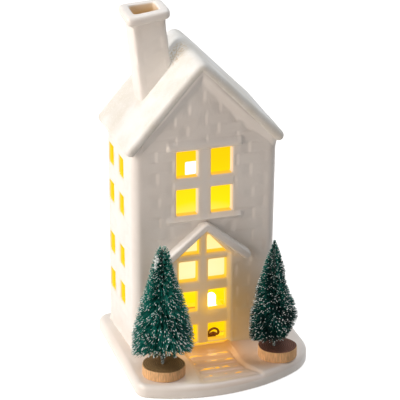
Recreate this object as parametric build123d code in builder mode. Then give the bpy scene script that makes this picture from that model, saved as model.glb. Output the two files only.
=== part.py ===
from build123d import *
import math
import os

# Lit ceramic village house on a snow base, with two bottle-brush trees on wood slices.
# Millimetres, +Z up, the door faces -Y. The origin is on the ground, under the middle of the base.

# Clearances and allowances
press_gap = 0.05  # round pieces that are glued or pressed together
free_gap = 0.3  # pieces that move apart or drop in
cut_past = 1.0  # how far a cut runs past the face that it leaves

# House walls
house_width = 80.0  # at the foot
house_depth = 54.0
wall = 4.5
wall_lean = 0.5  # degrees, the walls stand wider at the eaves
wall_corner_round = 3.0

# Snow base round the house
left_margin = 10.0
right_margin = 15.5
front_yard = 50.0
back_margin = 4.0
plate_height = 8.0
plate_left_draw = 4.0  # the left edge draws in by this towards the back
plate_belly = 12.75  # the foremost point lies this far left of the middle
plate_left_shoulder = 11.0  # where the front curve meets the left edge, back from the front
plate_right_shoulder = 28.0  # where the front curve meets the right edge
plate_corner_round = 8.0
plate_back_sweep = 30.0  # round back corner on the right
plate_side_blend = 31.0
plate_top_round = 3.0
plate_foot_round = 1.5

# Sunken path from the door to the front edge
path_width = 28.0
path_depth = 1.5
path_straight = 20.0
path_mouth_left = 18.0
path_mouth_right = 30.0
step_count = 4
step_pitch = 8.8
step_length = 6.6
step_height = 0.6
step_side_gap = 2.0
step_first = 11.5  # first step's middle, in front of the door wall

# Roof
roof_span = 86.2
eave_height = 129.6
ridge_height = 176.4
ridge_shift = -1.9  # the hand-made ridge lies left of the middle
roof_thickness = 4.2
roof_front_reach = 4.5
roof_back_reach = 1.8
roof_tip_round = 1.8
roof_ridge_round = 2.5
gable_trim_height = 4.0
gable_trim_depth = 2.4

# Chimney on the left slope
chimney_top_height = 198.2
chimney_top_left = 24.4  # left of the house's middle, at the top
chimney_setback = 34.4  # middle of the stack, back from the front wall
chimney_lean = 5.0  # degrees, to the left
chimney_back_lean = 5.5  # degrees, the stack's foot stands further forward than its rim
stack_width = 20.0
stack_depth = 16.5
rim_width = 25.0
rim_depth = 20.3
rim_height = 5.6
rim_round = 2.2
flue_width = 14.4
flue_depth = 12.0

# Windows in the upper front wall and the back wall
pane_width = 12.3
pane_height = 15.35
pane_mullion = 7.4
pane_transom = 7.0
pane_round = 0.8
window_base = 87.3
back_window_drop = 4.9
ledge_width = 43.0
ledge_depth = 1.8
ledge_round = 1.2
lintel_height = 4.2
lintel_gap = 0.8
sill_height = 3.3
sill_gap = 1.2

# Windows in the side walls
side_pane_width = 9.2
side_pane_height = 11.3
side_front_column = 24.1  # middle of the front column, back from the front wall
side_back_column = 10.5  # middle of the back column, forward of the back wall
side_row_pitch = 22.3
side_lower_row = 34.75
side_upper_row = 88.15

# Glazed door in a shallow recess
door_recess = 2.5
door_width = 31.0
door_shoulder = 62.0
door_peak = 76.8
door_pane_width = 10.5
door_pane_height = 12.0
door_mullion = 6.2
door_pane_rows = 3
door_pane_pitch = 18.4
door_pane_base = 9.2
gable_pane_base = 62.4
gable_pane_peak = 74.2
gable_pane_reach = 13.2
gable_pane_mullion = 4.6

# Canopy over the door
canopy_span = 50.0
canopy_ridge = 82.0
canopy_pitch = 40.0  # degrees
canopy_thickness = 3.2
canopy_depth = 5.5
canopy_round = 0.9

# Trees: each one on its own wood slice, set in from the left or right edge and back from the front
slice_edge_round = 0.6
slice_hole_floor = 2.0
stem_radius = 1.1
core_wall = 0.8
strand_radius = 0.45
strand_sides = 3
strands_per_ring = 9
strand_lift = 32.0  # degrees above level at the tip, none at the foot
ring_twist = 17.0  # degrees from ring to ring
tree_sizes = {
    "left": dict(way=-1, inset=17.8, setback=20.9, slice_radius=12.2, slice_height=6.0, stem_shift=(-0.6, 0.0),
                 brush_gap=5.5, brush_height=64.5, brush_radius=17.2, rings=24),
    "right": dict(way=1, inset=21.3, setback=25.4, slice_radius=10.5, slice_height=6.4, stem_shift=(-1.9, -0.6),
                  brush_gap=3.6, brush_height=60.5, brush_radius=14.4, rings=22),
}
brush_tip_radius = 2.6
brush_shoulder = 0.12  # share of the brush below its widest ring
brush_foot_share = 0.75  # reach of the lowest ring against the widest

# Battery tray under the house, for two AAA cells
cell_diameter = 10.5
cell_length = 44.5
cell_nub_diameter = 3.8
cell_nub_length = 0.8
cell_gap = 0.5
cell_side_gap = 1.25
contact_thickness = 0.5
contact_height = 8.0
contact_width = 8.4
tab_width = 2.6
tab_height = 2.0  # solder tab above the tray
tab_gap = 0.15
spring_length = 4.2
spring_large_radius = 3.4
spring_small_radius = 2.2
tray_wall = 1.8
tray_lift = 0.8  # underside of the tray above the ground
switch_bay_length = 9.6
flange_reach = 2.2
flange_height = 1.6
tray_fit_gap = 0.4

# Battery lid with its hinge pins
lid_thickness = 1.6
lid_pin_radius = 0.9
lid_pin_length = 1.3
lid_notch_width = 9.0
lid_notch_depth = 1.2
lid_grip_count = 3
lid_grip_pitch = 1.8
lid_grip_length = 12.0
lid_grip_width = 0.7
lid_grip_depth = 0.4
lid_grip_inset = 4.0

# Slide switch
switch_travel = 3.0
slider_stem_width = 2.0
slider_stem_length = 2.2
slider_head_width = 3.0
slider_head_length = 3.4
slider_head_height = 1.2
slider_lift = 0.3  # knob's underside above the ground
switch_wall = 1.0
switch_height = 4.2

# Light and wires
led_from_middle = 11.4  # right of the house's middle
led_forward = 3.0  # in front of the tray's middle
led_radius = 2.5
led_height = 8.6
led_flange_radius = 2.9
led_flange_height = 1.0
led_holder_radius = 4.2
led_holder_height = 4.1
led_leg_width = 0.5
led_leg_pitch = 2.54
lead_radius = 0.65
lead_bend = 2.6
lead_side_step = 7.0  # length of the slant where a lead changes its row
lead_front_gap = 3.0  # the switch lead hangs this far in front of the tray

# Derived places
plate_width = left_margin + house_width + right_margin
plate_depth = front_yard + house_depth + back_margin
plate_left = -plate_width / 2
plate_right = plate_width / 2
plate_front = -plate_depth / 2
plate_back = plate_depth / 2
house_x = plate_left + left_margin + house_width / 2
front_y = plate_front + front_yard
middle_y = front_y + house_depth / 2
front_face = Plane((house_x, front_y, 0), x_dir=(1, 0, 0), z_dir=(0, -1, 0))
side_plane = Plane((house_x, front_y, 0), x_dir=(0, 1, 0), z_dir=(1, 0, 0))

rise = ridge_height - eave_height
left_pitch = rise / (roof_span / 2 + ridge_shift)
right_pitch = rise / (roof_span / 2 - ridge_shift)
ridge_point = (house_x + ridge_shift, front_y, ridge_height)
left_slope = Plane(ridge_point, x_dir=(0, 1, 0), z_dir=(-left_pitch, 0, 1))
right_slope = Plane(ridge_point, x_dir=(0, 1, 0), z_dir=(right_pitch, 0, 1))

lean = math.radians(chimney_lean)
chimney_top = Plane(
    (house_x - chimney_top_left, front_y + chimney_setback, chimney_top_height),
    x_dir=(math.cos(lean), 0, math.sin(lean)),
    z_dir=(-math.sin(lean), 0, math.cos(lean)),
)
back_lean = math.radians(chimney_back_lean)
stack_top = Plane(
    chimney_top.origin,
    x_dir=chimney_top.x_dir,
    z_dir=(-math.sin(lean) * math.cos(back_lean), math.sin(back_lean), math.cos(lean) * math.cos(back_lean)),
)
chimney_reach = chimney_top_height - eave_height

bay_length = cell_length + spring_length + 2 * contact_thickness
bay_width = 2 * cell_diameter + cell_gap + 2 * cell_side_gap
tray_length = bay_length + switch_bay_length + 3 * tray_wall
tray_width = bay_width + 2 * tray_wall
tray_left = house_x - tray_length / 2
bay_left = tray_left + tray_wall
bay_right = bay_left + bay_length
switch_left = bay_right + tray_wall
switch_x = switch_left + switch_bay_length / 2
bay_x = bay_left + bay_length / 2
lid_top = tray_lift + lid_thickness
cell_z = lid_top + free_gap + cell_diameter / 2
tray_ceiling = cell_z + cell_diameter / 2 + press_gap
tray_top = tray_ceiling + tray_wall
cell_pitch = cell_diameter + cell_gap
front_cell_y = middle_y - cell_pitch / 2
back_cell_y = middle_y + cell_pitch / 2
hinge_y = middle_y + bay_width / 2 - free_gap - lid_thickness
hinge_z = lid_top
led_x = house_x + led_from_middle
led_y = middle_y - led_forward
led_seat = tray_top + led_holder_height


def below_roof(x, depth):
    # Height, at x from the house's middle, of the face that lies depth under the roof's top.
    pitch = left_pitch if x < ridge_shift else -right_pitch
    return ridge_height + pitch * (x - ridge_shift) - depth * math.hypot(1, pitch)


def below_ridge(depth):
    # Point where the two faces that lie depth under the roof's top meet.
    left_drop = depth * math.hypot(1, left_pitch)
    right_drop = depth * math.hypot(1, right_pitch)
    shift = (left_drop - right_drop) / (left_pitch + right_pitch)
    return ridge_shift + shift, ridge_height + left_pitch * shift - left_drop


def half_width(height):
    # Half the house's outer width at a height: the walls lean out a little.
    return house_width / 2 + (height - plate_height) * math.tan(math.radians(wall_lean))


def block(x_range, y_range, z_range, mode=Mode.ADD):
    # A square block between three pairs of limits.
    sizes = [high - low for low, high in (x_range, y_range, z_range)]
    with Locations((sum(x_range) / 2, sum(y_range) / 2, sum(z_range) / 2)):
        Box(*sizes, mode=mode)


# Snow base with the opening for the battery tray
with BuildPart() as base_plate:
    with BuildSketch() as plate_outline:
        belly = (-plate_belly, plate_front)
        left_shoulder = (plate_left, plate_front + plate_left_shoulder)
        right_shoulder = (plate_right, plate_front + plate_right_shoulder)
        back_left = (plate_left + plate_left_draw, plate_back)
        back_right = (plate_right, plate_back)
        with BuildLine():
            TangentArc(belly, right_shoulder, tangent=(1, 0))
            Polyline(right_shoulder, back_right, back_left, left_shoulder)
            TangentArc(belly, left_shoulder, tangent=(-1, 0))
        make_face()
        for corner, radius in (
            (right_shoulder, plate_side_blend),
            (back_right, plate_back_sweep),
            (back_left, plate_corner_round),
            (left_shoulder, plate_corner_round),
        ):
            fillet(plate_outline.vertices().sort_by_distance(corner)[0], radius)
    extrude(amount=plate_height)
    fillet(base_plate.faces().sort_by(Axis.Z)[-1].edges(), plate_top_round)
    fillet(base_plate.faces().sort_by(Axis.Z)[0].edges(), plate_foot_round)
    with BuildSketch(Plane((house_x, front_y, plate_height))):
        path_left = (-path_width / 2, -path_straight)
        path_right = (path_width / 2, -path_straight)
        mouth_left = (-path_mouth_left, -front_yard - cut_past)
        mouth_right = (path_mouth_right, -front_yard - cut_past)
        with BuildLine():
            Polyline(path_left, (-path_width / 2, door_recess), (path_width / 2, door_recess), path_right)
            TangentArc(path_right, mouth_right, tangent=(0, -1))
            Line(mouth_right, mouth_left)
            TangentArc(path_left, mouth_left, tangent=(0, -1))
        make_face()
    extrude(amount=-path_depth, mode=Mode.SUBTRACT)
    with BuildSketch(Plane((house_x, front_y - step_first, plate_height - path_depth))):
        for step in range(step_count):
            with Locations((0, -step * step_pitch)):
                Rectangle(path_width - 2 * step_side_gap, step_length)
    extrude(amount=step_height)
    with BuildSketch(Plane((house_x, middle_y, 0))):
        Rectangle(tray_length + 2 * tray_fit_gap, tray_width + 2 * tray_fit_gap)
    extrude(amount=plate_height, mode=Mode.SUBTRACT)
    with BuildSketch(Plane((house_x, middle_y, 0))):
        seat_reach = 2 * (flange_reach + tray_fit_gap)
        Rectangle(tray_length + seat_reach, tray_width + seat_reach)
    extrude(amount=tray_lift + flange_height, mode=Mode.SUBTRACT)

# Four walls with their windows, ledges, door recess and gable trim
front_columns = [side * (pane_mullion + pane_width) / 2 for side in (-1, 1)]
front_rows = [window_base + pane_height / 2 + row * (pane_height + pane_transom) for row in (0, 1)]
window_top = front_rows[1] + pane_height / 2
door_columns = [side * (door_mullion + door_pane_width) / 2 for side in (-1, 1)]
door_rows = [door_pane_base + door_pane_height / 2 + row * door_pane_pitch for row in range(door_pane_rows)]
side_columns = [side_front_column, house_depth - side_back_column]
side_rows = [base + row * side_row_pitch for base in (side_lower_row, side_upper_row) for row in (0, 1)]

with BuildPart() as house_walls:
    with BuildSketch(front_face):
        foot = half_width(plate_height)
        top = half_width(ridge_height)
        Polygon(
            (-foot, plate_height),
            (foot, plate_height),
            (top, ridge_height),
            (-top, ridge_height),
            align=None,
        )
    extrude(amount=-house_depth)
    fillet(house_walls.edges().filter_by(lambda edge: abs(edge.tangent_at(0.5).Z) > 0.9), wall_corner_round)
    with BuildSketch(front_face.offset(-wall)):
        Polygon(
            (wall - foot, plate_height),
            (foot - wall, plate_height),
            (top - wall, ridge_height),
            (wall - top, ridge_height),
            align=None,
        )
    extrude(amount=2 * wall - house_depth, mode=Mode.SUBTRACT)
    split(bisect_by=left_slope.offset(-roof_thickness), keep=Keep.BOTTOM)
    split(bisect_by=right_slope.offset(-roof_thickness), keep=Keep.BOTTOM)
    with BuildSketch(front_face):
        trim_end = half_width(eave_height) - wall_corner_round
        trim_foot = roof_thickness + gable_trim_height
        Polygon(
            (-trim_end, below_roof(-trim_end, roof_thickness)),
            (-trim_end, below_roof(-trim_end, trim_foot)),
            below_ridge(trim_foot),
            (trim_end, below_roof(trim_end, trim_foot)),
            (trim_end, below_roof(trim_end, roof_thickness)),
            below_ridge(roof_thickness),
            align=None,
        )
    extrude(amount=gable_trim_depth)
    with BuildSketch(front_face):
        with Locations((0, window_top + lintel_gap + lintel_height / 2)):
            RectangleRounded(ledge_width, lintel_height, ledge_round)
        with Locations((0, window_base - sill_gap - sill_height / 2)):
            RectangleRounded(ledge_width, sill_height, ledge_round)
    extrude(amount=ledge_depth)
    with BuildSketch(front_face):
        Polygon(
            (-door_width / 2, plate_height),
            (door_width / 2, plate_height),
            (door_width / 2, door_shoulder),
            (0, door_peak),
            (-door_width / 2, door_shoulder),
            align=None,
        )
    extrude(amount=-door_recess, mode=Mode.SUBTRACT)
    with BuildSketch(front_face.offset(-wall - cut_past)):
        with Locations(*[(x, z) for x in front_columns for z in front_rows]):
            RectangleRounded(pane_width, pane_height, pane_round)
        with Locations(*[(x, z) for x in door_columns for z in door_rows]):
            RectangleRounded(door_pane_width, door_pane_height, pane_round)
        for side in (-1, 1):
            Polygon(
                (side * gable_pane_mullion / 2, gable_pane_base),
                (side * gable_pane_reach, gable_pane_base),
                (side * gable_pane_mullion / 2, gable_pane_peak),
                align=None,
            )
    extrude(amount=wall + 2 * cut_past, mode=Mode.SUBTRACT)
    with BuildSketch(front_face.offset(-house_depth - cut_past)):
        with Locations(*[(x, z - back_window_drop) for x in front_columns for z in front_rows]):
            RectangleRounded(pane_width, pane_height, pane_round)
    extrude(amount=wall + 2 * cut_past, mode=Mode.SUBTRACT)
    with BuildSketch(side_plane):
        with Locations(*[(y, z) for y in side_columns for z in side_rows]):
            RectangleRounded(side_pane_width, side_pane_height, pane_round)
    extrude(amount=house_width, both=True, mode=Mode.SUBTRACT)

# Roof slab with the flue's hole
roof_left_tip = (-roof_span / 2, eave_height)
roof_right_tip = (roof_span / 2, eave_height)
left_hypot = math.hypot(1, left_pitch)
right_hypot = math.hypot(1, right_pitch)
left_under = (
    roof_left_tip[0] + roof_thickness * left_pitch / left_hypot,
    eave_height - roof_thickness / left_hypot,
)
right_under = (
    roof_right_tip[0] - roof_thickness * right_pitch / right_hypot,
    eave_height - roof_thickness / right_hypot,
)
with BuildPart() as roof:
    with BuildSketch(front_face.offset(roof_front_reach)) as roof_profile:
        Polygon(
            roof_left_tip,
            left_under,
            below_ridge(roof_thickness),
            right_under,
            roof_right_tip,
            (ridge_shift, ridge_height),
            align=None,
        )
    extrude(amount=-(roof_front_reach + house_depth + roof_back_reach))
    along = roof.edges().filter_by(Axis.Y)
    fillet(along.sort_by(Axis.Z)[-1], roof_ridge_round)
    tips = roof.edges().filter_by(Axis.Y).sort_by(Axis.Z)[:4]
    fillet(tips, roof_tip_round)
    with BuildSketch(stack_top):
        Rectangle(flue_width, flue_depth)
    extrude(amount=-chimney_reach, mode=Mode.SUBTRACT)

# Leaning chimney, open down to the room
with BuildPart() as chimney:
    with BuildSketch(chimney_top):
        RectangleRounded(rim_width, rim_depth, rim_round)
    extrude(amount=-rim_height)
    fillet(chimney.faces().sort_by(Axis.Z)[-1].edges(), rim_round)
    fillet(chimney.faces().sort_by(Axis.Z)[0].edges(), rim_round)
    with BuildSketch(stack_top.offset(-rim_round)):
        RectangleRounded(stack_width, stack_depth, rim_round)
    extrude(amount=-chimney_reach)
    with BuildSketch(stack_top.offset(rim_height)):
        Rectangle(flue_width, flue_depth)
    extrude(amount=-chimney_reach - 2 * rim_height, mode=Mode.SUBTRACT)
    split(bisect_by=left_slope, keep=Keep.TOP)

# Canopy over the door
canopy_tilt = math.radians(canopy_pitch)
canopy_drop = canopy_thickness / math.cos(canopy_tilt)
canopy_eave = canopy_ridge - canopy_span / 2 * math.tan(canopy_tilt)
canopy_tip = canopy_span / 2 - canopy_thickness * math.sin(canopy_tilt)
canopy_foot = canopy_eave - canopy_thickness * math.cos(canopy_tilt)
with BuildPart() as door_canopy:
    with BuildSketch(front_face):
        Polygon(
            (-canopy_span / 2, canopy_eave),
            (-canopy_tip, canopy_foot),
            (0, canopy_ridge - canopy_drop),
            (canopy_tip, canopy_foot),
            (canopy_span / 2, canopy_eave),
            (0, canopy_ridge),
            align=None,
        )
    extrude(amount=canopy_depth)
    fillet(door_canopy.edges().filter_by(Axis.Y).sort_by(Axis.Z)[-1], canopy_round)
    fillet(door_canopy.edges().filter_by(Axis.Y).sort_by(Axis.Z)[:4], canopy_round)


def tree_place(tree):
    # Middle of the tree's wood slice, on top of the snow base.
    return tree["way"] * (plate_width / 2 - tree["inset"]), plate_front + tree["setback"], plate_height


def stem_place(tree):
    # Middle of the tree's stem, which doesn't stand quite in the middle of its slice.
    x, y, z = tree_place(tree)
    return x + tree["stem_shift"][0], y + tree["stem_shift"][1], z


def brush_reach(tree, share):
    # Length of the bristles at a share of the brush's height: widest near the foot, narrow at the tip.
    widest = tree["brush_radius"]
    if share < brush_shoulder:
        return widest * (brush_foot_share + (1 - brush_foot_share) * share / brush_shoulder)
    fall = (share - brush_shoulder) / (1 - brush_shoulder)
    return widest + (brush_tip_radius - widest) * fall


def brush_foot(tree):
    # Height of the lowest bristles.
    return plate_height + tree["slice_height"] + tree["brush_gap"]


def make_tree_base(tree):
    # Wood slice with the blind hole for the stem.
    x, y, z = tree_place(tree)
    with BuildPart() as tree_base:
        with BuildSketch(Plane((x, y, z))):
            Circle(tree["slice_radius"])
        extrude(amount=tree["slice_height"])
        fillet(tree_base.edges(), slice_edge_round)
        stem_x, stem_y, _ = stem_place(tree)
        with BuildSketch(Plane((stem_x, stem_y, z + slice_hole_floor))):
            Circle(stem_radius + press_gap)
        extrude(amount=tree["slice_height"], mode=Mode.SUBTRACT)
    return tree_base


def make_tree_stem(tree):
    # Wire stem, from the floor of its hole to just under the brush's tip.
    x, y, z = stem_place(tree)
    stem_foot = z + slice_hole_floor
    stem_tip = brush_foot(tree) + tree["brush_height"] - 2 * brush_tip_radius
    with BuildPart() as tree_stem:
        with BuildSketch(Plane((x, y, stem_foot))):
            Circle(stem_radius)
        extrude(amount=stem_tip - stem_foot)
    return tree_stem


def make_tree_bristles(tree):
    # Rings of lifted strands on a thin sleeve round the stem, joined in one fuse.
    x, y, _ = stem_place(tree)
    foot_height = brush_foot(tree)
    sleeve_radius = stem_radius + press_gap + core_wall
    sleeve_height = tree["brush_height"] - brush_tip_radius
    root = stem_radius + press_gap + core_wall / 2
    strands = []
    for ring in range(tree["rings"]):
        share = (ring + 0.5) / tree["rings"]
        lift = math.radians(strand_lift * share)
        length = brush_reach(tree, share) / math.cos(lift) - root
        middle = Vector(x, y, foot_height + share * sleeve_height)
        for strand in range(strands_per_ring):
            turn = math.radians(360 / strands_per_ring * strand + ring_twist * ring)
            out = Vector(math.cos(turn) * math.cos(lift), math.sin(turn) * math.cos(lift), math.sin(lift))
            section = Plane(middle + out * root, z_dir=out) * RegularPolygon(strand_radius, strand_sides)
            strands.append(extrude(section, amount=length))
    with BuildPart() as tree_bristles:
        with BuildSketch(Plane((x, y, foot_height))):
            Circle(sleeve_radius)
            Circle(stem_radius + press_gap, mode=Mode.SUBTRACT)
        extrude(amount=sleeve_height)
        add(strands)
    return tree_bristles


# Battery tray: bay for the cells, bay for the switch, flange that seats in the base
with BuildPart() as battery_tray:
    with BuildSketch(Plane((house_x, middle_y, tray_lift))):
        Rectangle(tray_length, tray_width)
    extrude(amount=tray_top - tray_lift)
    with BuildSketch(Plane((house_x, middle_y, tray_lift))):
        Rectangle(tray_length + 2 * flange_reach, tray_width + 2 * flange_reach)
    extrude(amount=flange_height)
    with BuildSketch(Plane((bay_x, middle_y, tray_lift))):
        Rectangle(bay_length, bay_width)
    extrude(amount=tray_ceiling - tray_lift, mode=Mode.SUBTRACT)
    with BuildSketch(Plane((switch_x, middle_y, lid_top))):
        Rectangle(switch_bay_length, bay_width)
    extrude(amount=tray_top - lid_top, mode=Mode.SUBTRACT)
    with BuildSketch(Plane((switch_x, middle_y, tray_lift))):
        Rectangle(slider_stem_width + 2 * free_gap, slider_stem_length + switch_travel + 2 * free_gap)
    extrude(amount=lid_thickness, mode=Mode.SUBTRACT)
    with BuildSketch(Plane((bay_left, hinge_y, hinge_z), z_dir=(1, 0, 0))):
        Circle(lid_pin_radius + press_gap)
    extrude(amount=-tray_wall, mode=Mode.SUBTRACT)
    with BuildSketch(Plane((bay_right, hinge_y, hinge_z), z_dir=(1, 0, 0))):
        Circle(lid_pin_radius + press_gap)
    extrude(amount=tray_wall, mode=Mode.SUBTRACT)
    with BuildSketch(Plane((bay_left + contact_thickness / 2, 0, tray_ceiling))):
        with Locations((0, front_cell_y), (0, back_cell_y)):
            Rectangle(contact_thickness + 2 * tab_gap, tab_width + 2 * tab_gap)
    extrude(amount=tray_wall, mode=Mode.SUBTRACT)

# Lid that swings down on two pins along its back edge
lid_left = bay_left + free_gap
lid_right = bay_right - free_gap
lid_free_edge = middle_y - bay_width / 2 + free_gap
with BuildPart() as battery_lid:
    block((lid_left, lid_right), (lid_free_edge, hinge_y), (tray_lift, lid_top))
    with BuildSketch(Plane((lid_left, hinge_y, hinge_z), z_dir=(1, 0, 0))):
        Circle(lid_thickness)
    extrude(amount=lid_right - lid_left)
    for end, way in ((lid_left, -1), (lid_right, 1)):
        with BuildSketch(Plane((end, hinge_y, hinge_z), z_dir=(1, 0, 0))):
            Circle(lid_pin_radius)
        extrude(amount=way * lid_pin_length)
    with BuildSketch(Plane((bay_x, lid_free_edge, tray_lift))):
        Rectangle(lid_notch_width, 2 * lid_notch_depth)
    extrude(amount=lid_thickness, mode=Mode.SUBTRACT)
    with BuildSketch(Plane((bay_x, lid_free_edge + lid_grip_inset, tray_lift))):
        for grip in range(lid_grip_count):
            with Locations((0, grip * lid_grip_pitch)):
                SlotOverall(lid_grip_length, lid_grip_width)
    extrude(amount=lid_grip_depth, mode=Mode.SUBTRACT)


def make_cell(cell_y, way, left):
    # AAA cell lying along X, its small end pointing the given way.
    body_length = cell_length - cell_nub_length
    start = left if way > 0 else left + cell_length
    with BuildPart() as cell:
        with BuildSketch(Plane((start, cell_y, cell_z), z_dir=(way, 0, 0))):
            Circle(cell_diameter / 2)
        extrude(amount=body_length)
        with BuildSketch(Plane((start, cell_y, cell_z), z_dir=(way, 0, 0)).offset(body_length)):
            Circle(cell_nub_diameter / 2)
        extrude(amount=cell_nub_length)
    return cell


def make_spring(spring_y, way, seat):
    # Hidden contact spring: the space of its cone, wide end on the contact plate.
    with BuildPart() as spring:
        with BuildSketch(Plane((seat, spring_y, cell_z), z_dir=(way, 0, 0))):
            Circle(spring_large_radius)
        with BuildSketch(Plane((seat, spring_y, cell_z), z_dir=(way, 0, 0)).offset(spring_length)):
            Circle(spring_small_radius)
        loft()
    return spring


def make_contact(left, first_y, last_y):
    # Flat contact plate against an end wall of the bay. One for a single cell has a solder tab.
    thickness = (left, left + contact_thickness)
    with BuildPart() as contact:
        y_range = (first_y - contact_width / 2, last_y + contact_width / 2)
        block(thickness, y_range, (cell_z - contact_height / 2, tray_ceiling))
        if first_y == last_y:
            tab_range = (first_y - tab_width / 2, first_y + tab_width / 2)
            block(thickness, tab_range, (tray_ceiling, tray_top + tab_height))
    return contact


left_seat = bay_left + contact_thickness
right_seat = bay_right - contact_thickness
front_cell = make_cell(front_cell_y, 1, left_seat + spring_length)
back_cell = make_cell(back_cell_y, -1, left_seat)
front_spring = make_spring(front_cell_y, 1, left_seat)
back_spring = make_spring(back_cell_y, -1, right_seat)
negative_terminal = make_contact(bay_left, front_cell_y, front_cell_y)
positive_terminal = make_contact(bay_left, back_cell_y, back_cell_y)
link_plate = make_contact(right_seat, front_cell_y, back_cell_y)

# Slide switch: a hollow body over the slot, and a slider that is at its back end when the light is on
head_space_length = slider_head_length + switch_travel + 2 * free_gap
head_space_width = slider_head_width + 2 * free_gap
head_foot = lid_top + free_gap
head_space_top = head_foot + slider_head_height + free_gap
switch_length = head_space_length + 2 * switch_wall
switch_width = head_space_width + 2 * switch_wall
switch_top = lid_top + switch_height
with BuildPart() as switch_body:
    with BuildSketch(Plane((switch_x, middle_y, lid_top))):
        Rectangle(switch_width, switch_length)
    extrude(amount=switch_height)
    with BuildSketch(Plane((switch_x, middle_y, lid_top))):
        Rectangle(head_space_width, head_space_length)
    extrude(amount=head_space_top - lid_top, mode=Mode.SUBTRACT)

slider_y = middle_y + switch_travel / 2
with BuildPart() as switch_slider:
    with BuildSketch(Plane((switch_x, slider_y, slider_lift))):
        Rectangle(slider_stem_width, slider_stem_length)
    extrude(amount=head_foot - slider_lift)
    with BuildSketch(Plane((switch_x, slider_y, head_foot))):
        Rectangle(slider_head_width, slider_head_length)
    extrude(amount=slider_head_height)

# Light on its holder, above the tray
with BuildPart() as led_holder:
    with BuildSketch(Plane((led_x, led_y, tray_top))):
        Circle(led_holder_radius)
        Circle(led_radius, mode=Mode.SUBTRACT)
    extrude(amount=led_holder_height)

with BuildPart() as led_lamp:
    with BuildSketch(Plane((led_x, led_y, led_seat))):
        Circle(led_flange_radius)
    extrude(amount=led_flange_height)
    with BuildSketch(Plane((led_x, led_y, led_seat))):
        Circle(led_radius)
    extrude(amount=led_height - led_radius)
    with Locations((led_x, led_y, led_seat + led_height - led_radius)):
        Sphere(led_radius)

with BuildPart() as led_legs:
    with BuildSketch(Plane((led_x, led_y, tray_top))):
        with GridLocations(led_leg_pitch, 0, 2, 1):
            Rectangle(led_leg_width, led_leg_width)
    extrude(amount=led_holder_height)


def make_lead(points):
    # Round wire along straight runs joined by arcs.
    with BuildPart() as lead:
        with BuildLine():
            route = FilletPolyline(*points, radius=lead_bend)
        with BuildSketch(Plane(route @ 0, z_dir=route % 0)):
            Circle(lead_radius)
        sweep()
    volume = math.pi * lead_radius**2 * route.length
    print(f"lead {route.length:.1f} mm long, volume {lead.part.volume:.1f} of {volume:.1f}")
    return lead


# Wires: two along the top of the tray, one from the switch over the tray's front to the light
wire_z = tray_top + lead_radius
holder_left = led_x - led_holder_radius
switch_quarter = switch_length / 4
hang_y = middle_y - tray_width / 2 - lead_front_gap
hang_z = plate_height + lead_radius
negative_lead = make_lead([
    (left_seat, front_cell_y, wire_z),
    (holder_left - 2 * lead_side_step, front_cell_y, wire_z),
    (holder_left - lead_side_step, led_y, wire_z),
    (holder_left, led_y, wire_z),
])
positive_lead = make_lead([
    (left_seat, back_cell_y, wire_z),
    (switch_x - 2 * lead_side_step, back_cell_y, wire_z),
    (switch_x - lead_side_step, middle_y + switch_quarter, wire_z),
    (switch_x, middle_y + switch_quarter, wire_z),
    (switch_x, middle_y + switch_quarter, switch_top),
])
switch_lead = make_lead([
    (switch_x, middle_y - switch_quarter, switch_top),
    (switch_x, middle_y - switch_quarter, wire_z),
    (switch_x, hang_y, wire_z),
    (switch_x, hang_y, hang_z),
    (led_x, hang_y, hang_z),
    (led_x, hang_y, wire_z),
    (led_x, led_y - led_holder_radius, wire_z),
])

pieces = {
    "base_plate": base_plate,
    "house_walls": house_walls,
    "roof": roof,
    "chimney": chimney,
    "door_canopy": door_canopy,
    "battery_tray": battery_tray,
    "battery_lid": battery_lid,
    "front_cell": front_cell,
    "back_cell": back_cell,
    "front_contact_spring": front_spring,
    "back_contact_spring": back_spring,
    "negative_terminal": negative_terminal,
    "positive_terminal": positive_terminal,
    "link_plate": link_plate,
    "switch_body": switch_body,
    "switch_slider": switch_slider,
    "led_holder": led_holder,
    "led_lamp": led_lamp,
    "led_legs": led_legs,
    "negative_lead": negative_lead,
    "positive_lead": positive_lead,
    "switch_lead": switch_lead,
}
for side, tree in tree_sizes.items():
    pieces[f"{side}_tree_base"] = make_tree_base(tree)
    pieces[f"{side}_tree_stem"] = make_tree_stem(tree)
    pieces[f"{side}_tree_bristles"] = make_tree_bristles(tree)

os.makedirs("parts", exist_ok=True)
for name, piece in pieces.items():
    piece.part.label = name
    export_step(piece.part, f"parts/{name}.step")
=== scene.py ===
import math

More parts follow.
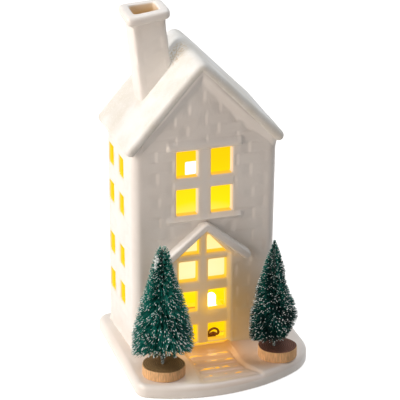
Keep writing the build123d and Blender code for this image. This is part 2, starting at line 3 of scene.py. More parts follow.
import bpy
import numpy as np
from mathutils import Matrix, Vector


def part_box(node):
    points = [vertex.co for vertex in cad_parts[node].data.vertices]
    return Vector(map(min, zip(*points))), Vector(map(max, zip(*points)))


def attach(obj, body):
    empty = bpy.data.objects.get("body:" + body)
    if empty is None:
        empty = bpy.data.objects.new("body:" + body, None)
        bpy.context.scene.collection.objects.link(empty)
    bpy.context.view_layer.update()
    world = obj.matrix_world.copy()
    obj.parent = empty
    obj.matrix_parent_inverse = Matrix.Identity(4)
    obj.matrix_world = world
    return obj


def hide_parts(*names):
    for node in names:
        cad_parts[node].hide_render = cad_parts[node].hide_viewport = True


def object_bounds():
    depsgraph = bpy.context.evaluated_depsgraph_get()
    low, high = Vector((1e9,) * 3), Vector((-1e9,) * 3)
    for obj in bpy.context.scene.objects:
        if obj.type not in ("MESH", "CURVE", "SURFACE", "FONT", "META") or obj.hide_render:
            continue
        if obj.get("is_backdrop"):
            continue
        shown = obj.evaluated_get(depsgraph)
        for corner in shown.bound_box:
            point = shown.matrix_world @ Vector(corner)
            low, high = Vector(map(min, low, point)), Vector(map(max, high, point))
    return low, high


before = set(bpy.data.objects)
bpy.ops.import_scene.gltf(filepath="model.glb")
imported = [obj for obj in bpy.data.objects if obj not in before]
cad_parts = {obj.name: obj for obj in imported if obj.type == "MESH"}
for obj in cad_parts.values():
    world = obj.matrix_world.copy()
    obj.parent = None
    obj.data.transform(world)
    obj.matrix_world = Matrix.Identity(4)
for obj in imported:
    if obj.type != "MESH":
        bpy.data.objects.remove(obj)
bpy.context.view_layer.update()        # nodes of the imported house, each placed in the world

mm = 0.001               # shapes below are worked out in millimetres
sharpAngle = math.radians(50)   # edges that turn by more than this stay sharp
print("frame loaded:", len(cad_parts), "nodes")


# Helpers for shapes

def span(node):
    # lowest and highest corner of a CAD node
    low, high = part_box(node)
    return np.array(low) / mm, np.array(high) / mm


def smooth(start, end, value):
    # 0 before start, 1 after end, an eased curve between
    share = np.clip((value - start) / (end - start), 0, 1)
    return share * share * (3 - 2 * share)


def uneven(a, b):
    # soft hand-made waviness, about -1 to 1: two sine waves that bend each other
    return 0.5 * (np.sin(a + 1.7 * np.sin(0.7 * b)) + np.sin(1.3 * b + 1.3 * np.sin(0.9 * a)))


def scatter(a, b):
    # a fixed number from 0 to 1 for each pair of whole numbers: the fraction of a large sine
    return np.modf(np.abs(np.sin(a * 12.9898 + b * 78.233) * 43758.5453))[0]


def unit(ways):
    # the same directions with length 1
    return ways / np.linalg.norm(ways, axis=-1, keepdims=True)


def nearest(lines, value):
    # number of the grid line that lies closest to a value
    return np.abs(lines - value).argmin()


def quarterTurn(turn):
    # cosine and sine of a number of quarter turns
    return round(math.cos(turn * math.pi / 2)), round(math.sin(turn * math.pi / 2))


def circle(turn):
    # points on a circle of radius 1
    return np.stack([np.cos(turn), np.sin(turn)], -1)


def gridQuads(rows, cols, wrapRows=False, wrapCols=False):
    # corner numbers of the faces of a grid that is stored row by row
    i, j = np.meshgrid(
        np.arange(rows if wrapRows else rows - 1),
        np.arange(cols if wrapCols else cols - 1),
        indexing="ij",
    )
    nextI = (i + 1) % rows
    nextJ = (j + 1) % cols
    corners = [i * cols + j, i * cols + nextJ, nextI * cols + nextJ, nextI * cols + j]
    return np.stack(corners, -1).reshape(-1, 4)


def endFaces(rows, cols):
    # the first and last ring of a grid, each as one face
    return np.stack([np.arange(cols)[::-1], (rows - 1) * cols + np.arange(cols)])


def rectLoop(rowLow, rowHigh, colLow, colHigh, cols):
    # grid points round a rectangle of cells, anticlockwise from outside
    across = np.arange(colLow, colHigh)
    up = np.arange(rowLow, rowHigh)
    return np.concatenate([
        rowLow * cols + across,
        up * cols + colHigh,
        rowHigh * cols + across[::-1] + 1,
        (up[::-1] + 1) * cols + colLow,
    ])


def bridge(loopA, loopB):
    # one ring of faces between two loops of points
    return np.stack([loopA, np.roll(loopA, -1), np.roll(loopB, -1), loopB], 1)


def breaks(low, high, step, edges):
    # even grid lines with the given edges among them, none too close to an edge
    even = np.linspace(low, high, int(round((high - low) / step)) + 1)
    edges = np.unique(np.round([e for e in edges if low <= e <= high], 4))
    if len(edges):
        gap = np.abs(even[:, None] - edges).min(1)
        even = even[gap > 0.45 * step]
    return np.unique(np.concatenate([edges, even, [low, high]]))


def addObject(name, data):
    # a new object in the scene
    made = bpy.data.objects.new(name, data)
    bpy.context.scene.collection.objects.link(made)
    return made


def addPiece(name, points, faces, look, slot, stands, marks=None):
    # puts arrays into a mesh that rides on the house; points that no face uses are dropped
    faces = [np.asarray(f) for f in faces]
    corners = np.concatenate([f.ravel() for f in faces])
    sizes = np.concatenate([np.full(len(f), f.shape[1]) for f in faces])
    used, corners = np.unique(corners, return_inverse=True)
    points = np.asarray(points, float).reshape(-1, 3)[used] * mm
    mesh = bpy.data.meshes.new(name)
    mesh.vertices.add(len(points))
    mesh.vertices.foreach_set("co", points.astype(np.float32).ravel())
    mesh.loops.add(len(corners))
    mesh.loops.foreach_set("vertex_index", corners.astype(np.int32).ravel())
    mesh.polygons.add(len(sizes))
    starts = np.concatenate([[0], np.cumsum(sizes)[:-1]])
    mesh.polygons.foreach_set("loop_start", starts.astype(np.int32))
    for key, values in (marks or {}).items():
        mark = mesh.attributes.new(key, "FLOAT", "POINT")
        mark.data.foreach_set("value", np.asarray(values, np.float32).ravel()[used])
    mesh.update(calc_edges=True)
    mesh.shade_smooth()
    mesh.set_sharp_from_angle(angle=sharpAngle)
    mesh.materials.append(look)
    piece = addObject(name, mesh)
    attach(piece, "house")
    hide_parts(*stands)
    return piece


def tube(path, radius, sides):
    # circles of the given radius carried along a path, closed at both ends
    path = np.asarray(path, float)
    way = unit(np.gradient(path, axis=0))
    helper = np.where(np.abs(way[:, 2:]) > 0.8, [[1.0, 0, 0]], [[0, 0, 1.0]])   # never along the path
    side = unit(np.cross(helper, way))
    other = np.cross(way, side)
    turn = np.linspace(0, 2 * np.pi, sides, endpoint=False)[None, :, None]
    ring = np.cos(turn) * side[:, None] + np.sin(turn) * other[:, None]
    points = (path[:, None] + radius * ring).reshape(-1, 3)
    return points, [gridQuads(len(path), sides, wrapCols=True), endFaces(len(path), sides)]


# Helpers for finishes

class Shade:
    # one socket of a material: sums on it add Math nodes
    def __init__(self, tree, socket=None):
        self.tree = tree
        self.socket = socket

    def node(self, kind, settings, sockets, out=0):
        # a node of any kind: its settings first, then the values or links of its sockets
        made = self.tree.nodes.new("ShaderNode" + kind)
        for key, value in settings.items():
            if key == "stops":
                ramp = made.color_ramp
                while len(ramp.elements) < len(value):
                    ramp.elements.new(1.0)
                for element, (place, colour) in zip(ramp.elements, value):
                    element.position = place
                    element.color = (*colour, 1.0)
            else:
                setattr(made, key, value)
        for key, value in sockets.items():
            if isinstance(value, Shade):
                self.tree.links.new(value.socket, made.inputs[key])
            else:
                made.inputs[key].default_value = value
        return Shade(self.tree, made.outputs[out])

    def sum(self, operation, first, second):
        # one Math node
        return self.node("Math", {"operation": operation}, {0: first, 1: second})

    def __add__(self, other):
        return self.sum("ADD", self, other)

    def __radd__(self, other):
        return self.sum("ADD", other, self)

    def __sub__(self, other):
        return self.sum("SUBTRACT", self, other)

    def __rsub__(self, other):
        return self.sum("SUBTRACT", other, self)

    def __mul__(self, other):
        return self.sum("MULTIPLY", self, other)

    def __rmul__(self, other):
        return self.sum("MULTIPLY", other, self)

    def ease(self, start, end):
        # 0 before start, 1 after end
        return self.node("MapRange", {"interpolation_type": "SMOOTHSTEP"}, {0: self, 1: start, 2: end})

    def ramp(self, stops):
        # colour that blends from stop to stop
        return self.node("ValToRGB", {"stops": stops}, {0: self})

    def mix(self, first, second):
        # first colour where this value is 0, second where it is 1
        sockets = {0: self}
        for key, colour in ((6, first), (7, second)):
            sockets[key] = colour if isinstance(colour, Shade) else (*colour, 1.0)
        return self.node("Mix", {"data_type": "RGBA"}, sockets, 2)

    def place(self):
        # Object coordinates, in metres
        return self.node("TexCoord", {}, {}, "Object")

    def mark(self, name):
        # a value that is stored on the piece's points
        return self.node("Attribute", {"attribute_name": name}, {}, "Fac")

    def noise(self, scale, detail=2.0, vector=None):
        # scale in grains per millimetre
        vector = vector or self.place()
        return self.node("TexNoise", {}, {"Vector": vector, "Scale": scale / mm, "Detail": detail})

    def stretch(self, scale):
        # Object coordinates stretched differently along X, Y and Z
        return self.node("Mapping", {}, {"Vector": self.place(), "Scale": scale})

    def bump(self, height, depth, strength=1.0):
        # depth in millimetres
        return self.node("Bump", {}, {"Height": height, "Distance": depth * mm, "Strength": strength})

    def away(self, point):
        # millimetres from a point
        point = tuple(float(v) * mm for v in point)
        return self.node("VectorMath", {"operation": "DISTANCE"}, {0: self.place(), 1: point}, 1) * (1 / mm)

    def coordinate(self, axis):
        # millimetres along X, Y or Z
        return self.node("SeparateXYZ", {}, {0: self.place()}, axis) * (1 / mm)

    def height(self):
        # millimetres above the ground
        return self.coordinate(2)

    def within(self, rise, fall):
        # 0, eased up to 1 over the first range and back to 0 over the second
        return self.ease(*rise) * (1 - self.ease(*fall))


def emptyTree(holder):
    # node tree of a material or world, without the nodes it starts with
    holder.use_nodes = True
    holder.node_tree.nodes.clear()
    return holder.node_tree


def finish(name, fixed, build):
    # a material: fixed values sit on the shader's sockets, build gives what changes over the surface
    look = bpy.data.materials.new(name)
    tree = emptyTree(look)
    shader = tree.nodes.new("ShaderNodeBsdfPrincipled")
    output = tree.nodes.new("ShaderNodeOutputMaterial")
    tree.links.new(shader.outputs[0], output.inputs[0])
    for key, value in fixed.items():
        shader.inputs[key].default_value = value
    for key, value in build(Shade(tree)).items():
        tree.links.new(value.socket, shader.inputs[key])
    return look


# Places that the pieces share

wallLow, wallHigh = span("house_walls")
plateLow, plateHigh = span("base_plate")
lampLow, lampHigh = span("led_lamp")
lampMiddle = (lampLow + lampHigh) / 2
houseX = (wallLow[0] + wallHigh[0]) / 2
groundFloor = wallLow[2]

house = dict(
    width=80.0, depth=54.0, wall=4.5, lean=0.5, rightLean=1.2, corner=5.4,
    ridge=176.4, eave=129.6, ridgeShift=-1.9, roofSpan=86.2, roofThick=4.2,
)
backY = wallHigh[1]
frontY = backY - house["depth"]
middleY = backY - house["depth"] / 2
rise = house["ridge"] - house["eave"]
leftPitch = rise / (house["roofSpan"] / 2 + house["ridgeShift"])
rightPitch = rise / (house["roofSpan"] / 2 - house["ridgeShift"])


def underRoof(x, depth):
    # height of the face that lies depth under the roof's top, at x from the house's middle
    off = x - house["ridgeShift"]
    left = house["ridge"] + leftPitch * off - depth * math.hypot(1, leftPitch)
    right = house["ridge"] - rightPitch * off - depth * math.hypot(1, rightPitch)
    return np.minimum(left, right)


# Finishes of the ceramic

glaze = dict(
    colour=(0.83, 0.795, 0.755), pooled=(0.79, 0.745, 0.70), gloss=0.30, varied=0.16,
    cloud=0.05, fine=0.9, ripple=0.12,
)
baseGlaze = dict(glaze, colour=(0.87, 0.825, 0.78), pooled=(0.83, 0.78, 0.73))
glazeFixed = {"IOR": 1.5, "Coat Weight": 0.25, "Coat Roughness": 0.12}
litFixed = {**glazeFixed, "Emission Strength": 1.0}


def glazeBuild(s, glaze=glaze):
    # cloudy pale colour, and a slow and a fine ripple in the gloss
    cloud = s.noise(glaze["cloud"], 3.0)
    fine = s.noise(glaze["fine"], 2.0)
    return {
        "Base Color": cloud.ease(0.3, 0.7).mix(glaze["pooled"], glaze["colour"]),
        "Roughness": glaze["gloss"] + glaze["varied"] * cloud,
        "Normal": s.bump(cloud * 0.8 + fine * 0.2, glaze["ripple"], 0.5),
    }


snow = dict(
    colour=(0.83, 0.82, 0.80), shade=(0.72, 0.69, 0.62), sparkle=(0.93, 0.92, 0.90),
    cloud=0.06, grain=1.25, raised=0.08,
    bareAndShadow=(0.64, 0.54, 0.38), shadowPlace=(-10.3, 23.5, 171.0), shadowReach=(5.0, 11.0),   # painted shadow of the chimney on the slope
)


def snowBuild(s):
    # roof: glaze with fine glitter, small raised grains that catch the light, and the chimney's shadow
    # painted on the slope
    grain = s.node("TexVoronoi", {"feature": "F1"}, {"Vector": s.place(), "Scale": snow["grain"] / mm})
    cloud = s.noise(snow["cloud"], 3.0)
    sparkle = (1 - grain.ease(0.10, 0.40)) * s.noise(0.5, 2.0).ease(0.42, 0.60)
    ground = cloud.ease(0.3, 0.7).mix(snow["shade"], snow["colour"])
    # painted shadow of the chimney: the slope turns darker in mottled specks near a point
    wearAndShadow = 1 - s.away(snow["shadowPlace"]).ease(*snow["shadowReach"])
    ground = (wearAndShadow * s.noise(0.8, 3.0).ease(0.44, 0.62)).mix(ground, snow["bareAndShadow"])
    return {
        "Base Color": sparkle.mix(ground, snow["sparkle"]),
        "Roughness": 0.5 - 0.3 * sparkle,
        "Normal": s.bump(sparkle, snow["raised"], 0.6),
    }


glow = dict(
    reach=120.0, shadeRange=(13.0, 30.0), shade=34.0, wall=(0.16, 0.11, 0.01, 1),
    tones=[
        (0.00, (0.97, 0.88, 0.60)), (0.22, (0.97, 0.86, 0.50)), (0.32, (0.98, 0.80, 0.34)),
        (0.47, (1.0, 0.76, 0.00)), (0.66, (1.0, 0.61, 0.00)), (1.00, (1.0, 0.48, 0.00)),
    ],
)


def glowBuild(s):
    # painted lamplight: the inside of the walls glows pale near the lamp, deeper yellow further up and below
    # it
    off = s.away(lampMiddle) + glow["shade"] * (1 - s.height().ease(*glow["shadeRange"]))
    return {"Emission Color": (off * (1 / glow["reach"])).ramp(glow["tones"])}


lamplight = dict(
    cream=(0.98, 0.66, 0.46), amber=(1.0, 0.52, 0.02), yellow=(0.95, 0.66, 0.0),
    # brown is a dim painted glow; the last colour is the dark base under painted lamplight and painted shade
    brown=(0.45, 0.235, 0.03), darkUnderGlow=(0.08, 0.06, 0.01),
)


def wallBuild(s):
    # glaze, with painted lamplight from cream to yellow where it spills, and beside the door painted shade
    # with a dim brown painted glow
    made = glazeBuild(s)
    lit, haze = s.mark("glow"), s.mark("haze")
    hue = s.mark("hue").ramp([
        (0.0, lamplight["cream"]), (0.5, lamplight["amber"]), (1.0, lamplight["yellow"]),
    ])
    # painted light and shade: the glaze darkens where lamplight or the shade beside the door is painted
    made["Base Color"] = lit.mix(haze.mix(made["Base Color"], lamplight["darkUnderGlow"]), lamplight["darkUnderGlow"])
    made["Emission Color"] = lit.mix(haze.mix((0, 0, 0), lamplight["brown"]), hue)
    return made


glazeLook = finish("plainGlaze", glazeFixed, glazeBuild)
wallLook = finish("wallGlaze", litFixed, wallBuild)
snowLook = finish("roofSnow", {"IOR": 1.5}, snowBuild)
glowFixed = {"Base Color": glow["wall"], "Roughness": 0.6, "Emission Strength": 1.0}
glowLook = finish("insideGlow", glowFixed, glowBuild)
print("ceramic finishes made")


# Walls: one grid round the house, with bricks, ledges, door recess and gable trim in relief

panes = dict(width=12.3, height=15.35, mullion=7.4, transom=7.0, base=87.3, backDrop=4.9, lip=0.9, round=0.9)
sidePanes = dict(width=9.2, height=11.3, columns=(24.1, 43.5), rows=(34.75, 57.05, 88.15, 110.45))
door = dict(
    width=31.0, shoulder=62.0, peak=76.8, recess=2.5, jamb=1.7,
    paneWidth=10.5, paneHeight=12.0, mullion=6.2, base=9.2, pitch=18.4, rows=3, lowest=(8.7, 19.2),
    gableBase=62.4, gablePeak=74.2, gableReach=13.2, gableMullion=4.6, blunt=0.06, settle=9.0, warp=8.0,
    deep=2.6, under=5.0,
)
ledges = dict(width=43.0, depth=1.8, round=1.4, lintel=4.2, lintelGap=0.8, sill=3.3, sillGap=1.2)
bricks = dict(
    length=17.6, course=6.6, head=0.52, bed=0.18, joint=0.9, flush=0.15, fall=5.5, tilt=0.12, wander=0.07,
)
# how far from each kind of edge the bricks start and reach their full depth
fade = dict(pane=(0.8, 2.2), door=(0.5, 2.0), window=(0.3, 1.6), ledge=(0, 0.3), trim=1.2, corner=(5.0, 8.0))
skin = dict(
    step=0.72, coarser=1.2, rowStep=1.45, cornerSteps=8, gableStart=131.0, gableRows=28, sideMargin=9.0,
    trim=2.6, trimFall=4.4, flare=0.8, flareHeight=2.6, bow=1.0, leanShare=(0.55, 0.95),
)
# painted lamplight outside the openings: strengths, and where it fades
spill = dict(
    pane=0.10, door=0.50, reach=4.8, frame=0.27, frameEdge=(-1.0, 1.5), frameHeight=(30, 80),
    # painted shade with a dim brown painted glow beside the door: strength, and where it fades
    haze=0.50, shadeGlowEdge=(-1.0, 2.0), shadeGlowWidth=(2, 26), shadeGlowHeight=(22, 78),
)
halo = dict(along=4.4, height=32.0, reach=15.0, fall=1.4)   # painted lamplight where the lamp shines through the door
# hue of the painted lamplight on the upright and level sides of an opening, and the glow at its outer edge
openings = dict(
    window=dict(upright=0.0, level=0.5, edge=0.85),
    door=dict(upright=0.8, level=0.5, edge=0.85),
    other=dict(upright=1.0, level=1.0, edge=1.0),
)
lipSteps = (-0.9, -0.35, 0.0, 0.5)   # grid lines beside a pane's edge
wallNames = ("front", "right", "back", "left")

sideTop = underRoof(house["width"] / 2 + 1, 0.5 * house["roofThick"])
sideScale = (sideTop - skin["sideMargin"] - groundFloor) / (skin["gableStart"] - groundFloor)


def paneList():
    # every pane as its wall, then left, right, bottom and top on that wall
    made = []
    for side in (-1, 1):
        mid = side * (panes["mullion"] + panes["width"]) / 2
        left, right = mid - panes["width"] / 2, mid + panes["width"] / 2
        for row in (0, 1):
            low = panes["base"] + row * (panes["height"] + panes["transom"])
            made.append(("front", left, right, low, low + panes["height"]))
            low = low - panes["backDrop"]
            made.append(("back", left, right, low, low + panes["height"]))
        mid = side * (door["mullion"] + door["paneWidth"]) / 2
        left, right = mid - door["paneWidth"] / 2, mid + door["paneWidth"] / 2
        for row in range(door["rows"]):
            low = door["base"] + row * door["pitch"]
            limits = (low, low + door["paneHeight"]) if row else door["lowest"]
            made.append(("front", left, right, *limits))
        near, far = sorted((side * door["gableMullion"] / 2, side * door["gableReach"]))
        made.append(("front", near, far, door["gableBase"], door["gablePeak"]))
    for column in sidePanes["columns"]:
        for middle in sidePanes["rows"]:
            low = middle - sidePanes["height"] / 2
            for wall, way in (("right", 1), ("left", -1)):
                mid = way * (column - house["depth"] / 2)
                half = sidePanes["width"] / 2
                made.append((wall, mid - half, mid + half, low, low + sidePanes["height"]))
    return made


allPanes = paneList()


def panesOf(wall):
    # left, right, bottom and top of each pane of a wall
    return [limits for name, *limits in allPanes if name == wall]


def paneKind(wall, high):
    # which of the openings a pane with this top belongs to
    if wall != "front":
        return "other"
    return "door" if high < door["peak"] else "window"


def rowOf(wall, height):
    # grid row value of a height: the side walls end lower, so their rows are closer together
    scale = sideScale if wall in ("left", "right") else 1.0
    return groundFloor + (height - groundFloor) / scale


def paneEdges(wall, steps):
    # grid lines beside the left and right edges of a wall's panes
    return [v for left, right, _, _ in panesOf(wall) for step in steps for v in (left + step, right - step)]


def rowEdges(steps):
    # grid rows beside the bottom and top edges of all panes
    return [v for wall, _, _, low, high in allPanes
            for step in steps for v in (rowOf(wall, low + step), rowOf(wall, high - step))]


def gableWarp(x, z):
    # draws the grid lines beside the door's two gable panes along their slanting edges
    near, far, outer = door["gableMullion"] / 2, door["gableReach"], door["width"] / 2 + door["warp"]
    up = np.clip((z - door["gableBase"]) / (door["gablePeak"] - door["gableBase"]), 0, 1)
    back = smooth(door["gablePeak"], door["gablePeak"] + door["settle"], z)
    narrow = 1 - (1 - door["blunt"]) * up * (1 - back)
    size = np.abs(x)
    edge = near + (far - near) * narrow
    inner = near + (size - near) * narrow
    outside = edge + (size - far) * (outer - edge) / (outer - far)
    drawn = np.select([size <= near, size <= far, size < outer], [size, inner, outside], size)
    return np.sign(x) * drawn


def edgeDistance(x, z, corners):
    # distance outside the nearest edge of a convex outline, negative inside; corners go anticlockwise
    far = np.full(np.shape(x), -1e9)
    for (ax, az), (bx, bz) in zip(corners, corners[1:] + corners[:1]):
        out = ((x - ax) * (bz - az) - (z - az) * (bx - ax)) / math.hypot(bx - ax, bz - az)
        far = np.maximum(far, out)
    return far


def boxCorners(left, right, low, high):
    # corners of a rectangle, anticlockwise
    return [(left, low), (right, low), (right, high), (left, high)]


def paneCorners(left, right, low, high):
    # a gable pane is a triangle, every other pane a rectangle
    if (low, high) != (door["gableBase"], door["gablePeak"]):
        return boxCorners(left, right, low, high)
    tip = (min(left, right, key=abs), high)
    return [(left, low), (right, low), tip]


def brickRelief(along, z, depth=1.0):
    # running bond: each brick rises steeply at its left edge and falls off slowly to the right
    course = np.floor((z - groundFloor) / bricks["course"])
    place = along / bricks["length"] + 0.5 * (course % 2) + bricks["wander"] * np.sin(course * 2.7)
    brick = np.floor(place)
    past, ahead = (place - brick) * bricks["length"], (brick + 1 - place) * bricks["length"]
    inCourse = (z - groundFloor) / bricks["course"] - course
    toBed = (0.5 - np.abs(inCourse - 0.5)) * bricks["course"]
    steep, slow = smooth(0, bricks["joint"], past), smooth(0, bricks["fall"], ahead)
    head = bricks["head"] * np.maximum(1 - steep, 1 - slow)
    bed = bricks["bed"] * (1 - smooth(bricks["flush"], bricks["joint"], toBed))
    tilt = bricks["tilt"] * (scatter(brick, course) - 0.5)
    return depth * (tilt - np.maximum(head, bed))


def ledgeRelief(x, z, low, height):
    # a bar with quarter-round edges
    half = ledges["width"] / 2
    inside = -edgeDistance(x, z, boxCorners(-half, half, low, low + height))
    share = np.clip(inside / ledges["round"], 0, 1)
    return ledges["depth"] * np.sqrt(1 - (1 - share) ** 2)


def lipRelief(wall, along, z):
    # rounded edge of each opening: a quarter circle that falls into the wall; and the distance to the opening
    near = np.full(along.shape, 1e9)
    for limits in panesOf(wall):
        near = np.minimum(near, edgeDistance(along, z, paneCorners(*limits)))
    rest = np.clip(1 - near / panes["lip"], 0, 1)
    relief = -panes["lip"] * (1 - np.sqrt(np.clip(1 - rest**2, 0, 1)))
    return relief, near


def wallRelief(wall, along, z):
    # outward distance of a wall's face from the plain wall: flare at the foot, bricks and the openings' lips,
    # and on the front wall also ledges, gable trim, door recess and bow
    lip, toPane = lipRelief(wall, along, z)
    plain = smooth(*fade["pane"], toPane)
    relief = skin["flare"] * (1 - smooth(0, skin["flareHeight"], z - groundFloor)) ** 2
    half = house["depth"] / 2
    if wall == "front":
        half = house["width"] / 2
        side, foot, shoulder = door["width"] / 2, groundFloor - door["under"], door["shoulder"]
        doorCorners = [(-side, foot), (side, foot), (side, shoulder), (0, door["peak"]), (-side, shoulder)]
        toDoor = edgeDistance(along, z, doorCorners)
        inDoor = smooth(0.3, -door["jamb"], toDoor)
        sillTop = panes["base"] - ledges["sillGap"]
        windowTop = panes["base"] + 2 * panes["height"] + panes["transom"]
        lintelLow = windowTop + ledges["lintelGap"]
        ledge = ledgeRelief(along, z, lintelLow, ledges["lintel"])
        ledge = ledge + ledgeRelief(along, z, sillTop - ledges["sill"], ledges["sill"])
        halfWindow = panes["mullion"] / 2 + panes["width"]
        toWindow = edgeDistance(along, z, boxCorners(-halfWindow, halfWindow, sillTop, lintelLow))
        below = (underRoof(along, house["roofThick"]) - z) / math.hypot(1, (leftPitch + rightPitch) / 2)
        trim = skin["trim"] * np.clip(1 - below / skin["trimFall"], 0, 1)
        plain = plain * smooth(*fade["door"], toDoor) * smooth(*fade["window"], toWindow)
        plain = plain * (1 - smooth(*fade["ledge"], ledge))
        plain = plain * smooth(skin["trimFall"], skin["trimFall"] + fade["trim"], below)
        bow = skin["bow"] * (2 * along / house["width"]) ** 2
        relief = relief * (1 - inDoor) + ledge + trim - door["recess"] * inDoor - bow
    start, full = fade["corner"]
    plain = plain * smooth(half - start, half - full, np.abs(along))
    return relief + lip + plain * brickRelief(along, z)


def roundPanes(wall, along, z):
    # moves grid points near a pane's corners on to a round corner
    r = panes["round"]
    for left, right, low, high in panesOf(wall):
        if (low, high) == (door["gableBase"], door["gablePeak"]):
            continue
        midA, midZ = (left + right) / 2, (low + high) / 2
        offA = np.abs(along - midA) - ((right - left) / 2 - r)
        offZ = np.abs(z - midZ) - ((high - low) / 2 - r)
        big = np.maximum(offA, offZ)
        near = 1 - smooth(r, 3 * r, big)
        corner = (offA > 0) & (offZ > 0) & (near > 0)
        pull = np.where(corner, near * (1 - big / np.maximum(np.hypot(offA, offZ), 1e-6)), 0)
        along = along - np.sign(along - midA) * offA * pull
        z = z - np.sign(z - midZ) * offZ * pull
    return along, z


def paneGlow(wall, along, z):
    # painted lamplight that spills over the edges of the panes, most of all in the door
    lit = np.zeros_like(along)
    for limits in panesOf(wall):
        off = edgeDistance(along, z, paneCorners(*limits))
        strength = spill["door"] if paneKind(wall, limits[3]) == "door" else spill["pane"]
        lit = np.maximum(lit, strength * np.clip(1 - off / spill["reach"], 0, 1) ** 2)
    if wall == "front":
        inside = 1 - smooth(*spill["frameEdge"], np.abs(along) - door["width"] / 2)
        lit = np.maximum(lit, spill["frame"] * inside * (1 - smooth(*spill["frameHeight"], z)))
        off = np.hypot(along - halo["along"], z - halo["height"])
        lit = np.maximum(lit, np.clip(1 - off / halo["reach"], 0, 1) ** halo["fall"])
    return lit


def doorShadeGlow(wall, along, z):
    # painted shade beside the door on the front wall, with dim painted lamplight that the ground throws back
    if wall != "front":
        return np.zeros_like(along)
    beside = np.abs(along) - door["width"] / 2
    near = smooth(*spill["shadeGlowEdge"], beside) * (1 - smooth(*spill["shadeGlowWidth"], beside))
    return spill["haze"] * near * (1 - smooth(*spill["shadeGlowHeight"], z))


def rowHeights(top, rows):
    # rows up to gableStart are heights, squeezed where the roof is low; later ones are shares of the gable
    start = skin["gableStart"]
    reach = np.minimum(start, top - skin["sideMargin"])
    lower = groundFloor + (rows[:, None] - groundFloor) * (reach - groundFloor) / (start - groundFloor)
    upper = reach + (rows[:, None] - start) * (top - reach)
    return np.where(rows[:, None] <= start, lower, upper)


def leanOut(x, y, z):
    # the walls stand a little wider at the eaves, the right one only towards the front
    rightLean = house["rightLean"] * np.clip(0.5 - y / house["depth"], 0, 1)
    out = (z - groundFloor) * np.tan(np.radians(np.where(x > 0, rightLean, house["lean"])))
    return x + np.sign(x) * out * smooth(*skin["leanShare"], np.abs(x) / (house["width"] / 2))


def wallRows():
    # heights up to the start of the gable, then shares of the gable's height
    heights = breaks(groundFloor, skin["gableStart"], skin["rowStep"], rowEdges(lipSteps))
    shares = np.linspace(0, 1, skin["gableRows"] + 1)[1:]
    return np.concatenate([heights, skin["gableStart"] + shares])


def wallGrid(rows):
    # points: footprint of the rounded house times height, moved outward by the relief
    parts, glows, shadeGlows, columnOf = [], [], [], {}
    count = 0
    halfSizes = (house["width"] / 2, house["depth"] / 2)
    arc = np.radians(np.linspace(0, 90, skin["cornerSteps"])[1:-1])
    for turn, wall in enumerate(wallNames):
        reach, out = halfSizes if turn % 2 == 0 else halfSizes[::-1]
        flat = reach - house["corner"]
        step = skin["step"] if wall in ("front", "left") else skin["coarser"] * skin["step"]
        along = breaks(-flat, flat, step, paneEdges(wall, lipSteps))
        columnOf[wall] = (count, along)
        columns = len(along)
        # straight stretch, then the rounded corner on its right
        px = np.concatenate([along, flat + house["corner"] * np.sin(arc)])
        py = np.concatenate([np.full(columns, -out), -out + house["corner"] * (1 - np.cos(arc))])
        nx = np.concatenate([np.zeros(columns), np.sin(arc)])
        ny = np.concatenate([-np.ones(columns), -np.cos(arc)])
        cosT, sinT = quarterTurn(turn)
        topX = leanOut(px * cosT - py * sinT, px * sinT + py * cosT, skin["gableStart"])
        z = rowHeights(underRoof(topX, 0.5 * house["roofThick"]), rows)
        alongGrid = np.broadcast_to(px, z.shape)
        if wall == "front":
            alongGrid = gableWarp(alongGrid, z)
        alongGrid, z = roundPanes(wall, alongGrid, z)
        onWall = np.arange(len(px)) < columns
        relief = np.where(onWall, wallRelief(wall, alongGrid, z), wallRelief("corner", alongGrid, z))
        if wall == "front":
            relief[:, columns:] = relief[:, columns - 1:columns] * np.cos(arc)
        if wall == "left":
            relief[:, columns:] -= skin["bow"] * (1 - 2 * house["corner"] / house["width"]) ** 2 * np.sin(arc)
        x = alongGrid + nx * relief
        y = py + ny * relief
        worldX = leanOut(x * cosT - y * sinT, x * sinT + y * cosT, z)
        parts.append(np.stack([houseX + worldX, middleY + x * sinT + y * cosT, z], -1))
        glows.append(np.where(onWall, paneGlow(wall, alongGrid, z), 0))
        shadeGlows.append(np.where(onWall, doorShadeGlow(wall, alongGrid, z), 0))
        count += len(px)
    return columnOf, np.concatenate(parts, 1), np.concatenate(glows, 1), np.concatenate(shadeGlows, 1)


def setIn(wall, kind, edge):
    # the edge of an opening, moved straight in to the wall's inner face
    inner = edge.copy()
    if wall == "front":
        inner[:, 1] = frontY + house["wall"] + (door["deep"] if kind == "door" else 0)
    elif wall == "back":
        inner[:, 1] = backY - house["wall"]
    else:
        way = 1 if wall == "right" else -1
        inner[:, 0] = houseX + way * (np.abs(inner[:, 0] - houseX).max() - house["wall"] + panes["lip"])
    return inner


